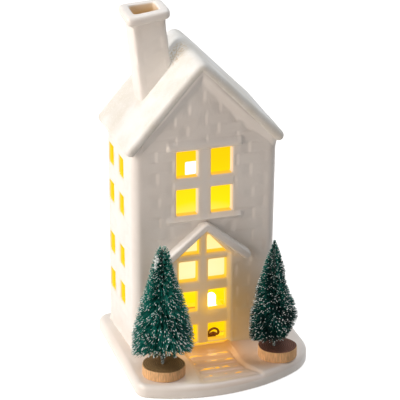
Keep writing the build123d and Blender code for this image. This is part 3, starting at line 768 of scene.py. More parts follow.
def makeWalls():
    # the grid of the outer face, less the panes, and the four sides of each opening
    rows = wallRows()
    columnOf, grid, glows, shadeGlows = wallGrid(rows)
    count = grid.shape[1]
    quads = gridQuads(len(rows), count, wrapCols=True).reshape(len(rows) - 1, count, 4)
    keep = np.ones(quads.shape[:2], bool)
    points, faces = [grid.reshape(-1, 3)], []
    glowMarks, hueMarks = [glows.ravel()], [np.full(glows.size, 0.5)]
    total = glows.size
    for wall, left, right, low, high in allPanes:
        first, along = columnOf[wall]
        c0, c1 = first + nearest(along, left), first + nearest(along, right)
        r0, r1 = nearest(rows, rowOf(wall, low)), nearest(rows, rowOf(wall, high))
        keep[r0:r1, c0:c1] = False
        loop = rectLoop(r0, r1, c0, c1, count)
        kind = paneKind(wall, high)
        tone = openings[kind]
        hues = np.repeat([tone["level"], tone["upright"]] * 2, [c1 - c0, r1 - r0] * 2)
        points.append(setIn(wall, kind, points[0][loop]))
        glowMarks[0][loop] = tone["edge"]
        hueMarks[0][loop] = hues
        glowMarks.append(np.ones(len(loop)))
        hueMarks.append(hues)
        faces.append(bridge(loop, total + np.arange(len(loop))))
        total += len(loop)
    marks = {
        "glow": np.concatenate(glowMarks),
        "hue": np.concatenate(hueMarks),
        "haze": np.pad(shadeGlows.ravel(), (0, total - shadeGlows.size)),
    }
    return np.concatenate(points), [quads[keep]] + faces, marks


points, faces, marks = makeWalls()
walls = addPiece("houseWalls", points, faces, wallLook, "snow_glaze", ["house_walls"], marks=marks)
print("walls:", len(walls.data.polygons), "faces")

lining = dict(shoulder=0.8, lap=0.4)


def makeLining():
    # inner faces of the four walls: coarse grids with the same openings, seen from the room
    points, faces = [], []
    total = 0
    for turn, wall in enumerate(wallNames):
        reach, out = house["width"] / 2, house["depth"] / 2
        if turn % 2:
            reach, out = out, reach
        reach, out = reach - house["wall"], out - house["wall"]
        shoulder = lining["shoulder"] * reach
        lines = paneEdges(wall, (0.0,)) + [-reach, reach, -shoulder, shoulder]
        if turn % 2 == 0:
            lines.append(house["ridgeShift"] if wall == "front" else -house["ridgeShift"])
        along = np.unique(np.round(lines, 4))
        heights = [v for _, _, low, high in panesOf(wall) for v in (low, high)]
        rows = np.unique(np.round(heights + [groundFloor], 4))
        cosT, sinT = quarterTurn(turn)
        top = underRoof(along * cosT + out * sinT, house["roofThick"] - lining["lap"])
        z = np.concatenate([np.repeat(rows[:, None], len(along), 1), top[None]])
        x = np.broadcast_to(along, z.shape)
        if wall == "front":
            x = gableWarp(x, z)
        y = np.full(z.shape, -out)
        if wall == "front":
            y = y + door["deep"] * ((np.abs(along) < door["width"] / 2 - 1) & (z < door["peak"]))
        worldX = x * cosT - y * sinT
        if turn % 2:
            worldX = leanOut(worldX * house["width"] / 2 / out, x * sinT, z) - np.sign(worldX) * house["wall"]
        grid = np.stack([houseX + worldX, middleY + x * sinT + y * cosT, z], -1)
        quads = gridQuads(*z.shape).reshape(len(rows), len(along) - 1, 4)
        keep = np.ones(quads.shape[:2], bool)
        for left, right, low, high in panesOf(wall):
            c0, c1 = nearest(along, left), nearest(along, right)
            r0, r1 = nearest(rows, low), nearest(rows, high)
            keep[r0:r1, c0:c1] = False
        points.append(grid.reshape(-1, 3))
        faces.append(quads[keep][:, ::-1] + total)
        total += z.size
    return np.concatenate(points), faces


addPiece("houseLining", *makeLining(), glowLook, "snow_glaze", ["house_walls"])
print("lining made")


# Roof and canopy: a slab over two slopes, round at every edge

roof = dict(
    front=3.0, back=1.8, soft=1.2, thick=6.2, reach=2.2, rightReach=-0.1, nose=3.3, backNose=2.4, blunt=0.05,
    step=0.9, rowStep=1.2, sway=0.12, skew=2.1, backSkew=0.4, skewFrom=0.6,
)
canopy = dict(
    span=50.4, ridge=84.0, pitch=40.0, thick=4.4, depth=5.6, bury=1.8, soft=0.25, widen=0.3,
    nose=2.0, backNose=0.6, blunt=0.4, columns=61, rowStep=0.8,
)
flue = dict(width=14.4, depth=12.0, round=1.2, bury=1.0, rings=8, litRings=10, dim=0.15)
chimney = dict(
    top=198.2, left=24.4, setback=34.4, lean=5.0, backLean=5.5, width=20.0, deep=16.5, corner=2.4, bury=0.5,
    rimWidth=25.2, rimDeep=20.5, rimHeight=5.8, rimRound=2.2, tilt=0.5, twist=0.64, twistFrom=8.0,
    flare=0.9, flareHeight=3.5, brick=0.55, brickShift=(4.0, 300.0), rings=44, quarter=28,
)
lean = math.radians(chimney["lean"])
shear = math.tan(math.radians(chimney["backLean"]))
stackTop = np.array([houseX - chimney["left"], frontY + chimney["setback"], chimney["top"]])


def slopeFoot(across):
    # height along the chimney's axis where it meets the left slope, measured from the top and so below 0
    x = stackTop[0] + across * math.cos(lean) - (houseX + house["ridgeShift"])
    z = stackTop[2] + across * math.sin(lean)
    return (house["ridge"] + leftPitch * x - z) / (math.cos(lean) + leftPitch * math.sin(lean))


def slabPoints(x, soft, half, ridgeX, ridgeZ, pitchL, pitchR):
    # outline of a slab: a middle line of two slopes that meet in a small hyperbola, half the thickness
    # above and below it, and a half circle round each end
    off = x - ridgeX
    z = ridgeZ - (pitchL + pitchR) / 2 * np.sqrt(off**2 + soft**2) - (pitchR - pitchL) / 2 * off
    way = unit(np.stack([np.gradient(x), np.gradient(z)], -1))
    up = np.stack([-way[:, 1], way[:, 0]], -1)
    half = np.broadcast_to(half, x.shape)[:, None]
    turn = np.linspace(0, np.pi, 9)[1:-1, None]
    middle = np.stack([x, z], -1)

    def outline(share):
        rightTip = middle[-1] + share * half[-1] * (np.cos(turn) * up[-1] + np.sin(turn) * way[-1])
        leftTip = middle[0] + share * half[0] * (-np.cos(turn) * up[0] - np.sin(turn) * way[0])
        upper = middle + share * half * up
        lower = (middle - share * half * up)[::-1]
        return np.concatenate([upper, rightTip, lower, leftTip])

    return outline, len(x), len(turn)


def makeSlab(outline, stations, shares, hole=None, upperCount=0, tipCount=0):
    # the outline carried along Y, thinner by its share at each station, with an opening for the flue if given
    rings = [outline(share) for share in shares]
    grid = np.stack([np.insert(ring, 1, y, axis=1) for ring, y in zip(rings, stations)])
    rows, cols = grid.shape[:2]
    quads = gridQuads(rows, cols, wrapCols=True).reshape(rows - 1, cols, 4)
    keep = np.ones(quads.shape[:2], bool)
    faces = []
    if hole:
        r0, r1, c0, c1 = hole
        mirror = 2 * upperCount + tipCount - 1
        keep[r0:r1, c0:c1] = False
        keep[r0:r1, mirror - c1:mirror - c0] = False
        top = rectLoop(r0, r1, c0, c1, cols)
        low = top // cols * cols + mirror - top % cols
        faces.append(bridge(top, low))
    return grid, [quads[keep], endFaces(rows, cols)] + faces


def noseStations(front, back, frontNose, backNose, blunt, step, edges=()):
    # places along Y, close together where the edge turns in; the thickness there follows a quarter ellipse
    turn = np.radians(np.linspace(90, 0, 12))
    nose = blunt + (1 - blunt) * np.cos(turn)
    inner = breaks(front + frontNose, back - backNose, step, edges)[1:-1]
    inset = 1 - np.sin(turn)
    y = np.concatenate([front + frontNose * inset, inner, back - backNose * inset[::-1]])
    return y, np.concatenate([nose, np.ones(len(inner)), nose[::-1]])


def makeRoof():
    # a slab over both slopes, open where the flue passes, that sways a little and is skewed at its right eave
    half = roof["thick"] / 2
    ridgeX = houseX + house["ridgeShift"]
    hypL, hypR = math.hypot(1, leftPitch), math.hypot(1, rightPitch)
    edge = house["roofSpan"] / 2 - half
    lowX, highX = houseX - edge - roof["reach"], houseX + edge + roof["rightReach"]
    middle = house["ridge"] + (half - house["roofThick"]) * (hypL + hypR) / 2
    halfFlue = flue["width"] / 2
    holeX = []
    for across in (-halfFlue, halfFlue):
        foot = slopeFoot(across)
        holeX.append(stackTop[0] + across * math.cos(lean) - foot * math.sin(lean) + half * leftPitch / hypL)
    x = breaks(lowX, highX, roof["step"], holeX)
    outline, upper, tip = slabPoints(x, roof["soft"], half, ridgeX, middle, leftPitch, rightPitch)
    holeMiddle = stackTop[1] + shear * slopeFoot(0.0)
    halfHole = flue["depth"] / 2 + shear * halfFlue
    holeY = [holeMiddle - halfHole, holeMiddle + halfHole]
    stations, shares = noseStations(
        frontY - roof["front"], backY + roof["back"], roof["nose"], roof["backNose"],
        roof["blunt"], roof["rowStep"], holeY,
    )
    rows = [nearest(stations, y) for y in holeY]
    cols = [nearest(x, v) for v in holeX]
    grid, faces = makeSlab(outline, stations, shares, (*rows, *cols), upper, tip)
    grid[..., 2] += roof["sway"] * uneven(grid[..., 0] * 0.16, grid[..., 1] * 0.19)
    # the right eave reaches further out at the front than at the back
    skew = roof["skew"] * smooth(roof["skewFrom"], 1.0, (grid[..., 0] - ridgeX) / (highX - ridgeX))
    forward = (middleY - grid[..., 1]) / (house["depth"] / 2)
    skew = skew * np.where(forward > 0, forward, roof["backSkew"] * forward)
    grid[..., 0] += skew
    grid[..., 2] -= rightPitch * skew
    return grid, faces


addPiece("roofSlab", *makeRoof(), snowLook, "snow_glaze", ["roof"])


def makeCanopy():
    # a small slab over two equal slopes, a little thicker at both eaves
    pitch = math.tan(math.radians(canopy["pitch"]))
    edge = canopy["span"] / 2 - canopy["thick"] / 2
    x = np.linspace(-edge, edge, canopy["columns"])
    half = canopy["thick"] / 2 + canopy["widen"] * (np.abs(x) / edge) ** 3
    middle = canopy["ridge"] - canopy["thick"] / 2 * math.hypot(1, pitch)
    outline, _, _ = slabPoints(houseX + x, canopy["soft"], half, houseX, middle, pitch, pitch)
    stations, shares = noseStations(
        frontY - canopy["depth"], frontY + canopy["bury"], canopy["nose"], canopy["backNose"],
        canopy["blunt"], canopy["rowStep"],
    )
    return makeSlab(outline, stations, shares)


addPiece("doorCanopy", *makeCanopy(), glazeLook, "snow_glaze", ["door_canopy"])
print("roof and canopy made")


# Chimney: rounded rectangles stacked along a leaning axis, over the rim and down the flue

def roundRect(halfX, halfY, corner, count):
    # points round a rectangle with round corners, anticlockwise: those of a squarish superellipse, drawn in
    turn = np.linspace(0, 2 * np.pi, 4 * count, endpoint=False) + np.pi / (4 * count)
    power = 2 / 7   # the superellipse has the exponent 7
    x = np.sign(np.cos(turn)) * np.abs(np.cos(turn)) ** power
    y = np.sign(np.sin(turn)) * np.abs(np.sin(turn)) ** power
    square = np.stack([x * halfX, y * halfY], -1)
    limit = np.array([halfX - corner, halfY - corner])
    core = np.clip(square, -limit, limit)
    out = square - core
    size = np.linalg.norm(out, axis=1)[:, None]
    return core + out / np.maximum(size, 1e-9) * np.minimum(size, corner)


def makeChimney():
    # each ring is an outline across the axis and its height along the axis, measured from the top
    c = chimney
    count = c["quarter"]
    rings = []
    stack = roundRect(c["width"] / 2, c["deep"] / 2, c["corner"], count)
    foot = slopeFoot(stack[:, 0]) - c["bury"]
    rimFoot = -c["rimHeight"]
    outward = unit(stack)
    onSide = np.abs(stack[:, 0]) * c["deep"] > np.abs(stack[:, 1]) * c["width"]
    along = np.where(onSide, stack[:, 1], stack[:, 0]) + c["brickShift"][0]
    for share in np.linspace(0, 1, c["rings"]):
        drop = foot + (rimFoot - foot) * share
        flare = c["flare"] * (1 - smooth(0, c["flareHeight"], drop - foot)) ** 2
        relief = flare + brickRelief(along, drop + c["brickShift"][1], c["brick"])
        rings.append((stack + outward * relief[:, None], drop))
    r = c["rimRound"]
    for middle, angles in ((rimFoot + r, np.linspace(-90, 0, 6)), (-r, np.linspace(0, 90, 7))):
        for turn in np.radians(angles):
            inset = r * (1 - math.cos(turn))
            rim = roundRect(c["rimWidth"] / 2 - inset, c["rimDeep"] / 2 - inset, c["corner"], count)
            rings.append((rim, np.full(4 * count, middle + r * math.sin(turn))))
    r = flue["round"]
    inner = roundRect(flue["width"] / 2, flue["depth"] / 2, r, count)
    for turn in np.radians(np.linspace(90, 180, 5)):
        lip = unit(inner) * r * (1 + math.cos(turn))
        rings.append((inner + lip, np.full(4 * count, r * math.sin(turn) - r)))
    innerFoot = slopeFoot(inner[:, 0]) - flue["bury"]
    for share in np.linspace(0.1, 1, flue["rings"]):
        rings.append((inner, (innerFoot + r) * share - r))
    flat = np.stack([np.column_stack([ring, drop]) for ring, drop in rings])
    # hand-made rim: its back stands higher and two of its corners are raised; the foot stands forward
    across, deep = flat[..., 0] / c["rimWidth"] * 2, flat[..., 1] / c["rimDeep"] * 2
    byRim = smooth(rimFoot - c["twistFrom"], rimFoot, flat[..., 2])
    flat[..., 1] += shear * flat[..., 2]
    flat[..., 2] += (c["tilt"] * deep - c["twist"] * across * deep) * byRim
    axes = np.array([
        [math.cos(lean), 0, math.sin(lean)], [0, 1, 0], [-math.sin(lean), 0, math.cos(lean)],
    ])
    grid = stackTop + flat @ axes
    return grid, [gridQuads(len(rings), 4 * count, wrapCols=True)]


flueGlow = dict(
    wall=(0.42, 0.27, 0.08),
    tones=[(0.0, (0, 0, 0)), (0.35, (0.12, 0.065, 0.015)), (1.0, (0.40, 0.22, 0.05))],
)


def chimneyBuild(s):
    # glaze outside; down in the flue, painted lamplight: a warm brown glow over a brown base colour
    made = glazeBuild(s)
    deep = s.mark("flue")
    made["Base Color"] = deep.ease(0.1, 0.5).mix(made["Base Color"], flueGlow["wall"])
    made["Emission Color"] = deep.ramp(flueGlow["tones"])
    return made


chimneyLook = finish("chimneyGlaze", litFixed, chimneyBuild)
points, faces = makeChimney()
flueMark = np.zeros(points.shape[:2])
flueMark[-flue["litRings"]:] = np.linspace(flue["dim"], 1, flue["litRings"])[:, None]
addPiece("chimneyStack", points, faces, chimneyLook, "snow_glaze", ["chimney"], marks={"flue": flueMark})
print("chimney made")


# Snow base: rings from the tray's opening, out under the foot, up over the edge and back in over the top

base = dict(
    belly=12.75, leftShoulder=11.0, rightShoulder=28.0, leftDraw=4.0, sideBlend=31.0, backSweep=30.0,
    cornerRound=8.0, topRound=3.0, footRound=1.5, columns=560, rings=80, crowd=1.15, samples=2000,
    drift=0.22, driftEdge=0.12, driftFront=6.0, treeRoom=8.0,
)
path = dict(
    width=28.0, depth=1.6, straight=20.0, mouthLeft=18.0, mouthRight=30.0, bank=(-0.6, 2.4), doorway=(-4, -2),
    level=0.85, levelFrom=(12.0, 1.0), steps=4, pitch=8.8, first=11.5, stepLength=6.6, stepEdge=(0.8, -0.9),
    stepBend=0.6, rise=0.75, sideGap=(1.6, 3.6),
)
trayLow, trayHigh = span("battery_tray")
seat = dict(fit=0.4, flange=1.6, ledge=2.2)


def roundCorner(before, corner, after, radius, count=14):
    # arc of the given radius that touches both legs of a corner
    before, corner, after = (np.array(p, float) for p in (before, corner, after))
    a, b = unit(before - corner), unit(after - corner)
    half = math.acos(np.clip(a @ b, -1, 1)) / 2
    start, end = corner + a * radius / math.tan(half), corner + b * radius / math.tan(half)
    centre = corner + unit(a + b) * radius / math.sin(half)
    share = np.linspace(0, 1, count)[:, None]
    spread = math.pi - 2 * half
    ray = (np.sin((1 - share) * spread) * (start - centre) + np.sin(share * spread) * (end - centre))
    return centre + ray / math.sin(spread)


def arcFrom(low, end, count):
    # arc that leaves its lowest point level and runs to the end
    across, up = end[0] - low[0], end[1] - low[1]
    radius = (across**2 + up**2) / (2 * up)
    turn = np.linspace(0, math.atan2(abs(across), radius - up), count)
    x = low[0] + np.sign(across) * radius * np.sin(turn)
    return np.stack([x, low[1] + radius * (1 - np.cos(turn))], -1)


def sideCurve(low, end, blend):
    # circle that touches the front curve from inside and the straight right edge
    across, up = end[0] - low[0], end[1] - low[1]
    radius = (across**2 + up**2) / (2 * up)
    off = across - blend
    drop = math.sqrt((radius - blend) ** 2 - off**2)
    turn = np.linspace(math.atan2(-drop, off), 0, 30)
    middle = [low[0] + off, low[1] + radius - drop]
    return middle + blend * circle(turn)


def plateOutline(turn):
    # distance from the house's middle to the base's edge, for each direction
    left, right, front, back = -plateHigh[0], plateHigh[0], plateLow[1], plateHigh[1]
    belly = (-base["belly"], front)
    leftShoulder = (left, front + base["leftShoulder"])
    rightShoulder = (right, front + base["rightShoulder"])
    backLeft, backRight = (left + base["leftDraw"], back), (right, back)
    rightArc = arcFrom(belly, rightShoulder, 60)
    rightSide = sideCurve(belly, rightShoulder, base["sideBlend"])
    leftArc = arcFrom(belly, leftShoulder, 40)
    line = np.concatenate([
        rightArc[rightArc[:, 0] < rightSide[0, 0] - 0.3],
        rightSide,
        roundCorner(rightShoulder, backRight, backLeft, base["backSweep"], 24),
        roundCorner(backRight, backLeft, leftShoulder, base["cornerRound"]),
        roundCorner(backLeft, leftShoulder, leftArc[-6], base["cornerRound"]),
        leftArc[-8:0:-1],
    ])
    ends = np.roll(line, -1, axis=0)
    share = np.linspace(0, 1, 40, endpoint=False)[None, :, None]
    off = (line[:, None] + (ends - line)[:, None] * share).reshape(-1, 2) - [houseX, middleY]
    angle = np.arctan2(off[:, 1], off[:, 0])
    return np.interp(turn, angle, np.linalg.norm(off, axis=1), period=2 * np.pi)


def boxReach(turn, halfX, halfY):
    # distance from the middle to a rectangle's edge, for each direction
    with np.errstate(divide="ignore"):
        return np.minimum(halfX / np.abs(np.cos(turn)), halfY / np.abs(np.sin(turn)))


def pathRelief(x, y):
    # how far the ground lies below the top of the base: the sunken path with its banks, less the steps
    along = frontY - y
    half = path["width"] / 2
    yard = frontY - plateLow[1]
    past = np.clip(along - path["straight"], 0, yard - path["straight"])

    def bankArc(mouth):
        # the bank runs straight, then follows an arc out to the mouth
        widen = mouth - half
        radius = (widen**2 + (yard + 1 - path["straight"]) ** 2) / (2 * widen)
        return half + radius - np.sqrt(radius**2 - past**2)

    halfRight, halfLeft = bankArc(path["mouthRight"]), bankArc(path["mouthLeft"])
    off = x - houseX
    toEdge = np.where(off > 0, halfRight - off, halfLeft + off)
    sunk = smooth(*path["bank"], toEdge) * smooth(*path["doorway"], along)
    start, end = yard - np.array(path["levelFrom"])
    sunk = sunk * (1 - path["level"] * smooth(start, end, along))
    outside, inside = path["stepLength"] / 2 + np.array(path["stepEdge"])
    step = np.zeros_like(x)
    for k in range(path["steps"]):
        gap = np.abs(along - path["first"] - k * path["pitch"] - path["stepBend"] * np.sin(off * 0.21 + k))
        step = np.maximum(step, smooth(outside, inside, gap))
    step = step * smooth(*path["sideGap"], toEdge)
    return path["depth"] * sunk - path["rise"] * step


def treeFlat(x, y):
    # 0 under the wood slices, where the base is level
    level = np.ones_like(x)
    for side in ("left", "right"):
        low, high = span(side + "_tree_base")
        off = np.hypot(x - (low[0] + high[0]) / 2, y - (low[1] + high[1]) / 2)
        level = level * smooth(0, base["treeRoom"], off - (high[0] - low[0]) / 2)
    return level


def baseTurns(seatX, seatY):
    # directions from the middle, evenly spaced along the base's edge, four of them at the seat's corners
    even = np.linspace(-np.pi, np.pi, base["samples"])
    reach = plateOutline(even)
    steps = np.hypot(np.diff(reach * np.cos(even)), np.diff(reach * np.sin(even)))
    length = np.concatenate([[0], np.cumsum(steps)])
    turn = np.interp(np.linspace(0, length[-1], base["columns"], endpoint=False), length, even)
    for corner in [math.atan2(b * seatY, a * seatX) for a in (-1, 1) for b in (-1, 1)]:
        turn[nearest(turn, corner)] = corner
    return turn


def makeBase():
    # rings of points that run once round the base: its edge in plan, drawn in or out, at the ring's height
    halfX, halfY = (trayHigh - trayLow)[:2] / 2
    seatX, seatY = halfX + seat["fit"], halfY + seat["fit"]
    seatTop = trayLow[2] + seat["flange"]
    turn = baseTurns(seatX, seatY)
    ways = circle(turn)
    rim = plateOutline(turn)[:, None] * ways
    tangent = np.roll(rim, -1, 0) - np.roll(rim, 1, 0)
    normal = unit(np.stack([tangent[:, 1], -tangent[:, 0]], -1))
    middle = np.array([houseX, middleY])
    top = plateHigh[2]
    rings = []

    def ring(flat, height):
        rings.append(np.column_stack([middle + flat, np.broadcast_to(height, len(turn))]))

    hole = boxReach(turn, seatX - seat["ledge"], seatY - seat["ledge"])[:, None] * ways
    seatEdge = boxReach(turn, seatX, seatY)[:, None] * ways
    ring(hole, top)
    ring(hole, seatTop)
    ring(seatEdge, seatTop)
    ring(seatEdge, 0.0)
    foot = rim - normal * base["footRound"]
    for share in (0.35, 0.7):
        ring(seatEdge + (foot - seatEdge) * share, 0.0)
    for angle in np.radians(np.linspace(0, 90, 6)):
        ring(rim - normal * base["footRound"] * (1 - np.sin(angle)), base["footRound"] * (1 - np.cos(angle)))
    inset = rim - normal * base["topRound"]
    low = pathRelief(*(middle + inset).T)
    for angle in np.radians(np.linspace(0, 90, 9)):
        height = top - low - base["topRound"] * (1 - np.sin(angle))
        ring(rim - normal * base["topRound"] * (1 - np.cos(angle)), height)
    for share in np.linspace(0, 1, base["rings"])[1:-1]:
        flat = inset + (hole - inset) * share ** base["crowd"]
        x, y = (middle + flat).T
        drift = base["drift"] * uneven(x * 0.15 + 2, y * 0.17) * smooth(0, base["driftEdge"], share)
        drift = drift * treeFlat(x, y) * smooth(frontY, frontY - base["driftFront"], y)
        ring(flat, top - pathRelief(x, y) + drift)
    grid = np.stack(rings)
    return grid, [gridQuads(len(rings), len(turn), wrapRows=True, wrapCols=True)]


# painted lamplight on the base: tones, and ranges from the front wall, across from the house's middle, and in
# height
pathGlow = dict(
    colour=(0.24, 0.08, 0.01), paintedLampPool=(0.56, 0.29, 0.10), room=(0.85, 0.52, 0.0),
    streak=(1.0, 0.47, 0.03), ground=(0.30, 0.13, 0.01),
    reach=(6.0, 66.0), aside=(13.0, 22.0), height=(4.2, 5.4),
    streakAlong=((5.0, 9.0), (37.0, 43.0)), streakAcross=((-13.0, -11.0), (8.0, 11.5)),
    roomAlong=((-52.0, -50.0), (-3.5, -2.0)), roomAcross=((-39.5, -38.0), (38.0, 39.5)),
)


def baseBuild(s):
    # glaze, with the door's warm light painted on the path, painted reflections of it as streaks on the
    # steps, and the room's floor painted lit
    made = glazeBuild(s, baseGlaze)
    across, along = s.coordinate(0) - float(houseX), float(frontY) - s.coordinate(1)
    onTop = s.height().ease(*pathGlow["height"])
    doorway = (houseX + 4, frontY - 2, groundFloor)
    near = (1 - s.away(doorway).ease(*pathGlow["reach"])) * onTop
    near = near * (1 - 0.35 * across.ease(*pathGlow["aside"]))
    tint = (near * near * 0.8).mix((0, 0, 0), pathGlow["colour"])
    # painted pool of lamplight: the base turns amber near the door
    lampPoolBase = (near * 0.9).mix(made["Base Color"], pathGlow["paintedLampPool"])
    # painted reflections of lamplight: streaks across the steps, over a dark amber base
    wave = (along + 2.4 * s.noise(0.09, 2.0) - (1.2 + path["first"])) * (2 * math.pi / path["pitch"])
    stripe = s.node("Math", {"operation": "COSINE"}, {0: wave}).ease(0.72, 0.94)
    patch = s.noise(1.0, 2.0, s.stretch((0.16, 0.30, 0.0))).ease(0.46, 0.53)
    onPath = along.within(*pathGlow["streakAlong"]) * across.within(*pathGlow["streakAcross"])
    streak = stripe * patch * onPath * onTop
    inRoom = along.within(*pathGlow["roomAlong"]) * across.within(*pathGlow["roomAcross"]) * onTop
    made["Base Color"] = streak.mix(lampPoolBase, pathGlow["ground"])
    made["Emission Color"] = inRoom.mix(streak.mix(tint, pathGlow["streak"]), pathGlow["room"])
    return made


baseLook = finish("baseGlaze", litFixed, baseBuild)
addPiece("snowBase", *makeBase(), baseLook, "snow_glaze", ["base_plate"])
print("snow base made")


# Trees: fine bristles on a twisted wire, on a slice of wood

# heights and widths are shares of the brush's own; tuck and notch thin it on one side, clump whitens a spot
trees = {
    "left": dict(
        strands=7800, seed=11, lift=-20.0, frosted=0.27, tone=0.66, tall=2.0, skirt=5.0,
        tuck=0.0, notch=0.0, clump=1.0, sideTone=1.05, sawn=(0.42, 0.255, 0.105), grow=0.0,
        heights=(0.0, 0.1, 0.21, 0.34, 0.47, 0.64, 0.81, 0.97, 1.0),
        widths=(0.98, 1.04, 1.02, 0.90, 0.76, 0.55, 0.37, 0.22, 0.12),
    ),
    "right": dict(
        strands=6800, seed=23, lift=-7.0, frosted=0.22, tone=0.17, tall=1.6, skirt=3.6,
        # its sawn top is painted darker and redder: the shade of its tree
        tuck=0.42, notch=0.2, clump=0.0, sideTone=1.08, sawn=(0.24, 0.10, 0.065), grow=0.6,
        heights=(0.0, 0.07, 0.17, 0.26, 0.4, 0.61, 0.77, 0.86, 1.0),
        widths=(0.90, 0.98, 1.0, 0.96, 0.79, 0.57, 0.385, 0.25, 0.04),
    ),
}
bristle = dict(
    root=0.16, frost=0.12, crown=60.0, spread=9.0, golden=2.39996, stray=0.25, bend=0.10,
    longest=1.02, ragged=0.34, raggedPower=2.4, crowd=0.62, lump=0.06,
    tuckSide=-0.3, tuckTop=0.28, notchStart=(0.38, 0.54), notchEnd=(0.6, 0.74),
    clumpShare=0.87, clumpSide=3.5, clumpSize=(0.06, 0.24), clumpThick=1.6, clumpFrost=2.4,
    along=(0.0, 0.5, 0.87, 1.0), taper=(1.0, 0.9, 0.7, 0.4), flock=(0, 0, 0.8, 1.0),
)
slices = dict(wobble=0.22, edge=0.6, grain=0.06, rings=0.05, growLow=(0.2, 1.4, 0), growHigh=(1.4, 0.2, 0))
wire = dict(radius=0.52, pitch=3.4, offset=0.5, perMillimetre=3.2, sides=8)


def brushReach(tree, share, around, tuft, ragged):
    # how far each strand reaches, as a share of the brush's half width: the outline, less what is worn away
    reach = np.interp(share, tree["heights"], tree["widths"])
    reach = reach * (bristle["longest"] - bristle["ragged"] * ragged ** bristle["raggedPower"])
    reach = reach * (1 + bristle["lump"] * tuft)
    facing = np.cos(around - bristle["tuckSide"])
    tucked = np.clip(facing, 0, 1) * (1 - smooth(0, bristle["tuckTop"], share))
    notched = (0.3 + 0.7 * facing) * smooth(*bristle["notchStart"], share)
    notched = notched * (1 - smooth(*bristle["notchEnd"], share))
    return reach * (1 - tree["tuck"] * tucked - tree["notch"] * notched)


def makeBristles(tree, low, high, axis):
    # each strand ends on the brush's outline and starts on the wire; three-sided rings along it
    rng = np.random.default_rng(tree["seed"])
    n = tree["strands"]
    share = 1 - rng.random(n) ** bristle["crowd"]
    around = np.arange(n) * bristle["golden"] + rng.normal(0, bristle["stray"], n)
    tuft = uneven(4 * np.cos(around) + 9 * share, 4 * np.sin(around) - 6 * share)
    reach = (high[0] - low[0]) / 2 * brushReach(tree, share, around, tuft, rng.random(n))
    lift = tree["lift"] * (1 - share**2) + bristle["crown"] * share**4 + rng.normal(0, bristle["spread"], n)
    along = np.array(bristle["along"])
    tipZ = low[2] + share * (high[2] + tree["tall"] - low[2])
    tipZ = tipZ + tree["skirt"] * np.clip(0.25 - np.sin(around), 0, 1) * (1 - share) ** 6
    rootZ = np.clip(tipZ - np.tan(np.radians(lift)) * reach, low[2] + 0.3, high[2] - 0.5)
    slant = np.arctan2(tipZ - rootZ, reach)[:, None]
    flat = reach[:, None] * along
    z = rootZ[:, None] + (tipZ - rootZ)[:, None] * along
    swirl = around[:, None] + rng.normal(0, bristle["bend"], n)[:, None] * along**2
    out = circle(swirl)
    centre = np.concatenate([axis + flat[..., None] * out, z[..., None]], -1)
    tallSpot, wideSpot = bristle["clumpSize"]
    aside = np.sin((around - bristle["clumpSide"]) / 2)
    clump = np.hypot((share - bristle["clumpShare"]) / tallSpot, aside / wideSpot) < tree["clump"]
    frosted = (rng.random(n) < tree["frosted"] * (0.85 + 0.4 * share)) | clump
    thick = bristle["root"] * np.array(bristle["taper"])
    flock = bristle["frost"] * np.array(bristle["flock"])
    thick = thick + np.outer(frosted * (0.5 + rng.random(n)) * (1 + bristle["clumpThick"] * clump), flock)
    side = np.stack([-out[..., 1], out[..., 0], np.zeros_like(z)], -1)
    tall = np.broadcast_to(np.cos(slant), z.shape)
    up = np.stack([-out[..., 0] * np.sin(slant), -out[..., 1] * np.sin(slant), tall], -1)
    turn = np.radians([90, 210, 330])[None, None, :, None] + rng.random(n)[:, None, None, None] * 2
    ring = np.cos(turn) * side[:, :, None] + np.sin(turn) * up[:, :, None]
    points = centre[:, :, None] + thick[..., None, None] * ring
    quads = gridQuads(len(along), 3, wrapCols=True)
    step = len(along) * 3
    faces = (np.arange(n)[:, None, None] * step + quads).reshape(-1, 4)
    tips = np.arange(n)[:, None] * step + np.arange(step - 3, step)
    spread = np.ones((1, len(along), 3))
    tone = np.clip(tree["tone"] + 0.5 * (share - 0.35) + 0.3 * tuft + 0.2 * rng.normal(0, 1, n), 0, 1)
    frost = frosted * (0.45 + 0.55 * rng.random(n)) + bristle["clumpFrost"] * clump
    marks = {
        "along": along[None, :, None] * np.ones((n, 1, 3)),
        "tone": tone[:, None, None] * spread,
        "frost": frost[:, None, None] * spread,
    }
    return points.reshape(-1, 3), [faces, tips], marks


dyeAndShade = dict(
    inner=(0.001, 0.010, 0.009), dark=(0.001, 0.024, 0.022),
    teal=(0.006, 0.270, 0.212), flock=(0.90, 0.94, 0.94),
)


def brushBuild(s):
    # dyed fibre, teal outside, with painted shade that darkens it by the wire, and white flock on some tips
    along, frost = s.mark("along"), s.mark("frost")
    body = s.mark("tone").mix(dyeAndShade["dark"], dyeAndShade["teal"])
    # painted shade inside the brush: strands darken towards the wire
    body = along.ease(0.3, 0.9).mix(dyeAndShade["inner"], body)
    white = (along + frost * 0.09).ease(1.0, 1.02)
    return {"Base Color": white.mix(body, dyeAndShade["flock"]), "Roughness": 0.45 + 0.35 * white}


def makeStem(low, high, axis):
    # two wires twisted round each other
    parts, faces = [], []
    total = 0
    z = np.linspace(low[2], high[2], int((high[2] - low[2]) * wire["perMillimetre"]))
    for phase in (0, np.pi):
        turn = 2 * np.pi * (z - low[2]) / wire["pitch"] + phase
        line = np.column_stack([axis + wire["offset"] * circle(turn), z])
        points, tubeFaces = tube(line, wire["radius"], wire["sides"])
        parts.append(points)
        faces += [face + total for face in tubeFaces]
        total += len(points)
    return np.concatenate(parts), faces


def wireBuild(s):
    # dull steel, worn bright in places
    wearAndShadow = s.noise(1.5, 3.0)
    return {
        "Base Color": wearAndShadow.ease(0.35, 0.7).mix((0.10, 0.12, 0.11), (0.34, 0.36, 0.34)),
        "Roughness": 0.32 + 0.25 * wearAndShadow,
    }


